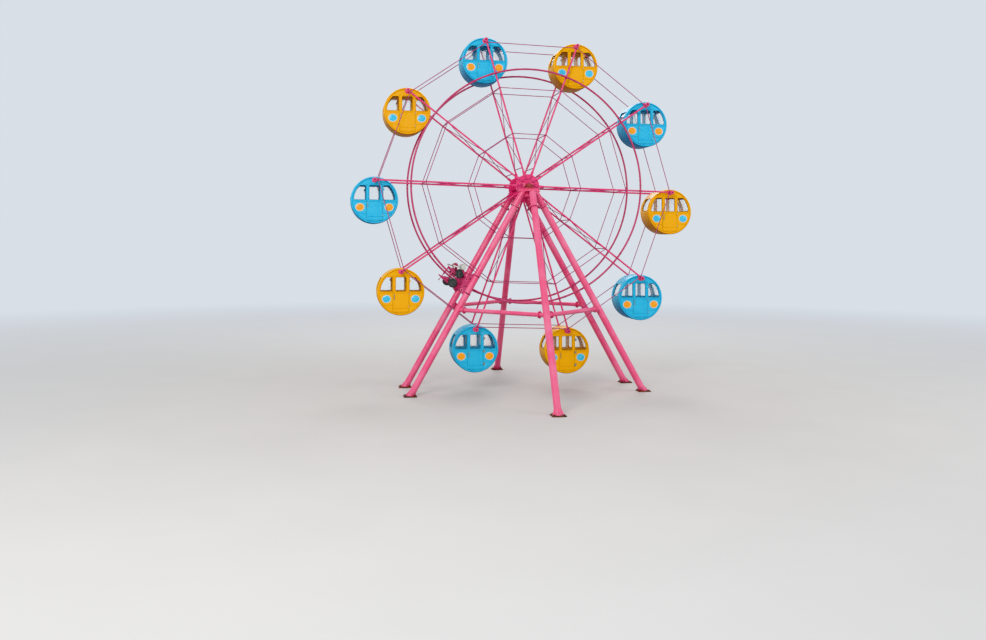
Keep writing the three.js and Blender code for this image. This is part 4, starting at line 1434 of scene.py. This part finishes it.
def innerArmMesh(side):
    paint, bolts, cream = newShapes(3)
    pivot, tyre, motor, axis = drive["innerPivot"], innerTyre, drive["motor"], axisOf(side)
    addArm(paint, bolts, side, pivot, tyre)
    near, outside, width = drive["motorArm"]
    plateBetween(paint, pivot, motor, width, *span(side, near, outside), 0.004)
    disc = [(0, 0.108), (0.003, 0.112), (outside - near, 0.112)]
    turnedShape(paint, sidePoint(side, motor, near), axis, disc, 40)
    # the tension rod in its sleeve, pinned here and running on past the outer arm
    tail, other = armTail(pivot, tyre), armTail(drive["outerPivot"], outerTyre)
    along = (other - tail).normalized()
    down = Vector((along.x, 0, along.y))
    size, plane = drive["rod"], drive["rod"]["plane"]
    start = sidePoint(side, tail, plane)
    end = sidePoint(side, other, plane) + down * size["below"]
    rod(paint, start - down * size["above"], end, size["radius"], 16)
    low, high, thick = size["sleeve"]
    sleeve = [(low, 0.02), (low + 0.006, thick), (high - 0.006, thick), (high, 0.02)]
    turnedShape(paint, start, down, sleeve, 28)
    rod(paint, sidePoint(side, tail, armFar - 0.002), start + axis * 0.030, 0.022, 24)
    hexBolt(bolts, start + axis * 0.029, axis, 0.020)
    for step in (-0.045, -0.022):
        hexBolt(bolts, end + down * step, down, 0.022)
    # a pale guard over the tyre, on stays from the tail and the motor plate
    guard = drive["guard"]
    a, b, far = Vector(guard["from"]), Vector(guard["to"]), guard["far"]
    plateBetween(cream, a, b, 0.010, *span(side, guard["near"], far), 0.002, False)
    drop = Vector((0, guard["lip"] / 2))
    plateBetween(cream, a - drop, b - drop, guard["lip"], *span(side, far - 0.006, far), 0.001, False)
    for root, tip in ((tail, a + Vector((0.03, -0.02))), (motor, b - Vector((0.05, 0.02)))):
        plateBetween(cream, root, tip, 0.045, *span(side, far - 0.013, far - 0.007), 0.001)
    return meshFrom("innerArm", [(paint, rimPaint), (bolts, darkBolt), (cream, creamPaint)])


def bracketMesh(side):
    paint, bolts, rings = newShapes(3)
    (innerX, innerZ), (outerX, outerZ) = drive["innerPivot"], drive["outerPivot"]

    def besideLeg(z, reach):
        return legPoint(side, "left", z).x - reach, z

    corners = [
        besideLeg(4.02, 0.10), besideLeg(4.96, 0.10), (innerX - 0.02, innerZ + 0.09),
        (innerX - 0.09, innerZ), (outerX - 0.09, outerZ + 0.02), (outerX - 0.02, outerZ - 0.09),
    ]
    plane, step, thick = drive["bracketPlane"], drive["bracketStep"], drive["bracketThick"]
    axis, outside, pin = axisOf(side), plane + step + thick, drive["pin"]
    for near in (plane, plane + step):
        depths = span(side, near + 0.001, near + thick - 0.001)
        outlinePlate(paint, roundedOutline(corners, 0.03), *depths, faceXZ, 0.003)
    near, ring = drive["armPlane"] - drive["armPinInset"], drive["ringBoss"]
    for pivot in (drive["innerPivot"], drive["outerPivot"]):
        base = sidePoint(side, pivot, 0)
        turnedShape(paint, base, axis, [(plane + 0.001, 0.054), (outside - 0.001, 0.054)], 32)
        turnedShape(bolts, base, axis, [(near, pin - 0.004), (near + 0.004, pin), (plane + 0.02, pin)], 24)
        boss = [(outside - 0.002, ring), (outside + 0.006, ring), (outside + 0.009, ring - 0.004)]
        turnedShape(rings, base, axis, boss, 40)
        hexBolt(bolts, base + axis * (outside + 0.008), axis, 0.028, 0.016)
    for spot in (besideLeg(4.40, 0.22), besideLeg(4.70, 0.20)):
        hexBolt(bolts, sidePoint(side, spot, outside - 0.001), axis, 0.022)
    # clamp bands round the leg, each drawn up by two bolts on its outer side
    along, tube, clamp = legEnds(side, "left")[2], stand["tube"], drive["clamp"]
    for height in clamp["heights"]:
        centre = legPoint(side, "left", height)
        flange(paint, centre, along, tube + clamp["thick"], clamp["width"], 48)
        for slide in (-clamp["bolt"], clamp["bolt"]):
            spot = centre + along * clamp["width"] / 2 + along.cross(axis) * slide
            hexBolt(bolts, spot + axis * (tube + 0.004), axis, 0.020, 0.02)
    return meshFrom("bracket", [(paint, rimPaint), (bolts, darkBolt), (rings, pinkLegs)])


def motorMesh(side):
    paint, bolts = newShapes(2)
    axis = axisOf(side)
    start = sidePoint(side, drive["motor"], drive["motorArm"][1] + stand["faceGap"])
    gearCase = [
        (0, 0.124), (0.004, 0.129), (0.024, 0.129), (0.030, 0.122), (0.030, 0.100), (0.10, 0.092),
        (0.14, 0.096),
    ]
    turnedShape(paint, start, axis, gearCase, 48)
    # the finned motor body and its fan cowl
    casing = [
        (0.12, 0.088), (0.14, 0.094), (0.37, 0.094), (0.38, 0.104), (0.42, 0.106), (0.438, 0.090),
        (0.438, 0),
    ]
    turnedShape(paint, start, axis, casing, 48)
    corners = ((0.15, 0.090), (0.36, 0.090), (0.36, 0.112), (0.15, 0.112))
    for angle in circleAngles(drive["motorFins"]):
        fin(paint, [start + axis * d + wheelRay(angle) * r for d, r in corners], drive["finThick"])
    boltCircle(bolts, start + axis * 0.028, axis, 0.112, 8, 0.009)

    def onMotor(x, depth, z):
        return start + axis * depth + Vector((x, 0, z))

    slab(paint, (-0.045, 0.045, 0.19, 0.31), 0.01, 0.085, 0.122, onMotor, 0.004)  # the terminal box on top
    return meshFrom("motor", [(paint, motorPaint), (bolts, darkBolt)])


for label, side in sideOf.items():
    innerBody, outerBody = f"{label}_inner_arm_body", f"{label}_outer_arm_body"
    for piece, make, body, node, slotName in (
        ("drive_bracket_plates", bracketMesh, "stand", "drive_bracket", "pink_steel"),
        ("inner_arm_plate", innerArmMesh, innerBody, "inner_arm", "pink_steel"),
        ("outer_arm_plate", outerArmMesh, outerBody, "outer_arm", "pink_steel"),
        ("gearmotor", motorMesh, innerBody, "drive_motor", "motor_paint"),
    ):
        addPiece(f"{label}_{piece}", make(side), body, [f"{label}_{node}"])
    for place, spot in (("inner", innerTyre), ("outer", outerTyre)):
        node, shape = f"{label}_{place}_tyre", tyreMesh(side, spot)
        addPiece(f"{label}_{place}_drive_tyre", shape, f"{node}_body", [node])
print("drives made")


# Studio: a pale floor that fades into a pale sky, and soft lights
studio = {
    "floorSize": 600,
    "floorColor": (0.60, 0.565, 0.53),
    "fade": (10, 60),
    "sky": (0.74, 0.79, 0.85),
    "skyStrength": 1.0,
    "target": (0, 0, 7),
    "key": {"place": (-19, -36, 21), "size": 18, "power": 8300, "color": (1, 0.985, 0.96)},
    "fill": {"place": (28, -22, 16), "size": 18, "power": 2500, "color": (0.95, 0.97, 1)},
    "back": {"place": (6, 30, 28), "size": 18, "power": 4500, "color": (1, 1, 1)},
}


def makeFloor():
    bm = bmesh.new()
    half = studio["floorSize"] / 2
    corners = ((-half, -half), (half, -half), (half, half), (-half, half))
    bm.faces.new([bm.verts.new((x, y, -0.001)) for x, y in corners])
    material, tree = newMaterial("floorPale")
    place, base = objectSpace(tree), studio["floorColor"]
    tone = addMix(tree, addNoise(tree, place, 0.35, 5), [c * 0.96 for c in base], [c * 1.04 for c in base])
    distance = addNode(tree, "ShaderNodeVectorMath", {0: place}, operation="LENGTH").outputs["Value"]
    fade = addRamp(tree, distance, *studio["fade"])
    feedShader(tree, {
        "Base Color": addMix(tree, fade, tone, (0, 0, 0)),
        "Emission Color": addMix(tree, fade, (0, 0, 0), studio["sky"]),
        "Emission Strength": studio["skyStrength"],
        "Roughness": 0.9,
        "Specular IOR Level": 0.0,
    })
    floor = newObject("floor", meshFrom("floor", [(bm, material)]))


def makeWorld():
    world = bpy.data.worlds.new("studio")
    bpy.context.scene.world = world
    world.use_nodes = True
    back = world.node_tree.nodes["Background"]
    back.inputs["Color"].default_value = (*studio["sky"], 1)
    back.inputs["Strength"].default_value = studio["skyStrength"]


def addLight(name):
    values = studio[name]
    light = bpy.data.lights.new(f"{name}Light", "AREA")
    light.shape = "DISK"
    light.size = values["size"]
    light.energy = values["power"]
    light.color = values["color"]
    lamp = newObject(f"{name}Light", light)
    lamp.visible_transmission = False  # the windows show the sky and no lamp
    lamp.location = values["place"]
    aim = Vector(studio["target"]) - Vector(values["place"])
    lamp.rotation_euler = aim.to_track_quat("-Z", "Y").to_euler()


makeFloor()
makeWorld()
for name in ("key", "fill", "back"):
    addLight(name)
bpy.context.scene.view_settings.view_transform = "Khronos PBR Neutral"  # keeps the paints vivid

# Camera at the photograph's place and angle; lengths in its picture are in pixels
view = {
    "place": (-8.19, -39.74, 6.25), "yaw": 9.82, "pitch": 1.18, "roll": 0.226,
    "focal": 958, "width": 986, "height": 640, "middleRow": 221.1,
}


def makeCamera():
    yaw, pitch, roll = (math.radians(view[k]) for k in ("yaw", "pitch", "roll"))
    forward = Vector((math.sin(yaw) * math.cos(pitch), math.cos(yaw) * math.cos(pitch), math.sin(pitch)))
    right = Vector((math.cos(yaw), -math.sin(yaw), 0))
    above = right.cross(forward)
    tilt = Matrix.Rotation(roll, 3, -forward)
    right, above = tilt @ right, tilt @ above
    lens = bpy.data.cameras.new("camera")
    lens.sensor_fit = "HORIZONTAL"
    lens.sensor_width = 36
    lens.lens = lens.sensor_width * view["focal"] / view["width"]
    lens.shift_y = (view["middleRow"] - view["height"] / 2) / view["width"]
    lens.clip_end = 1000
    camera = newObject("camera", lens)
    turn = Matrix((right, above, -forward)).transposed().to_4x4()
    camera.matrix_world = Matrix.Translation(view["place"]) @ turn
    bpy.context.scene.camera = camera


makeCamera()
print("studio made")
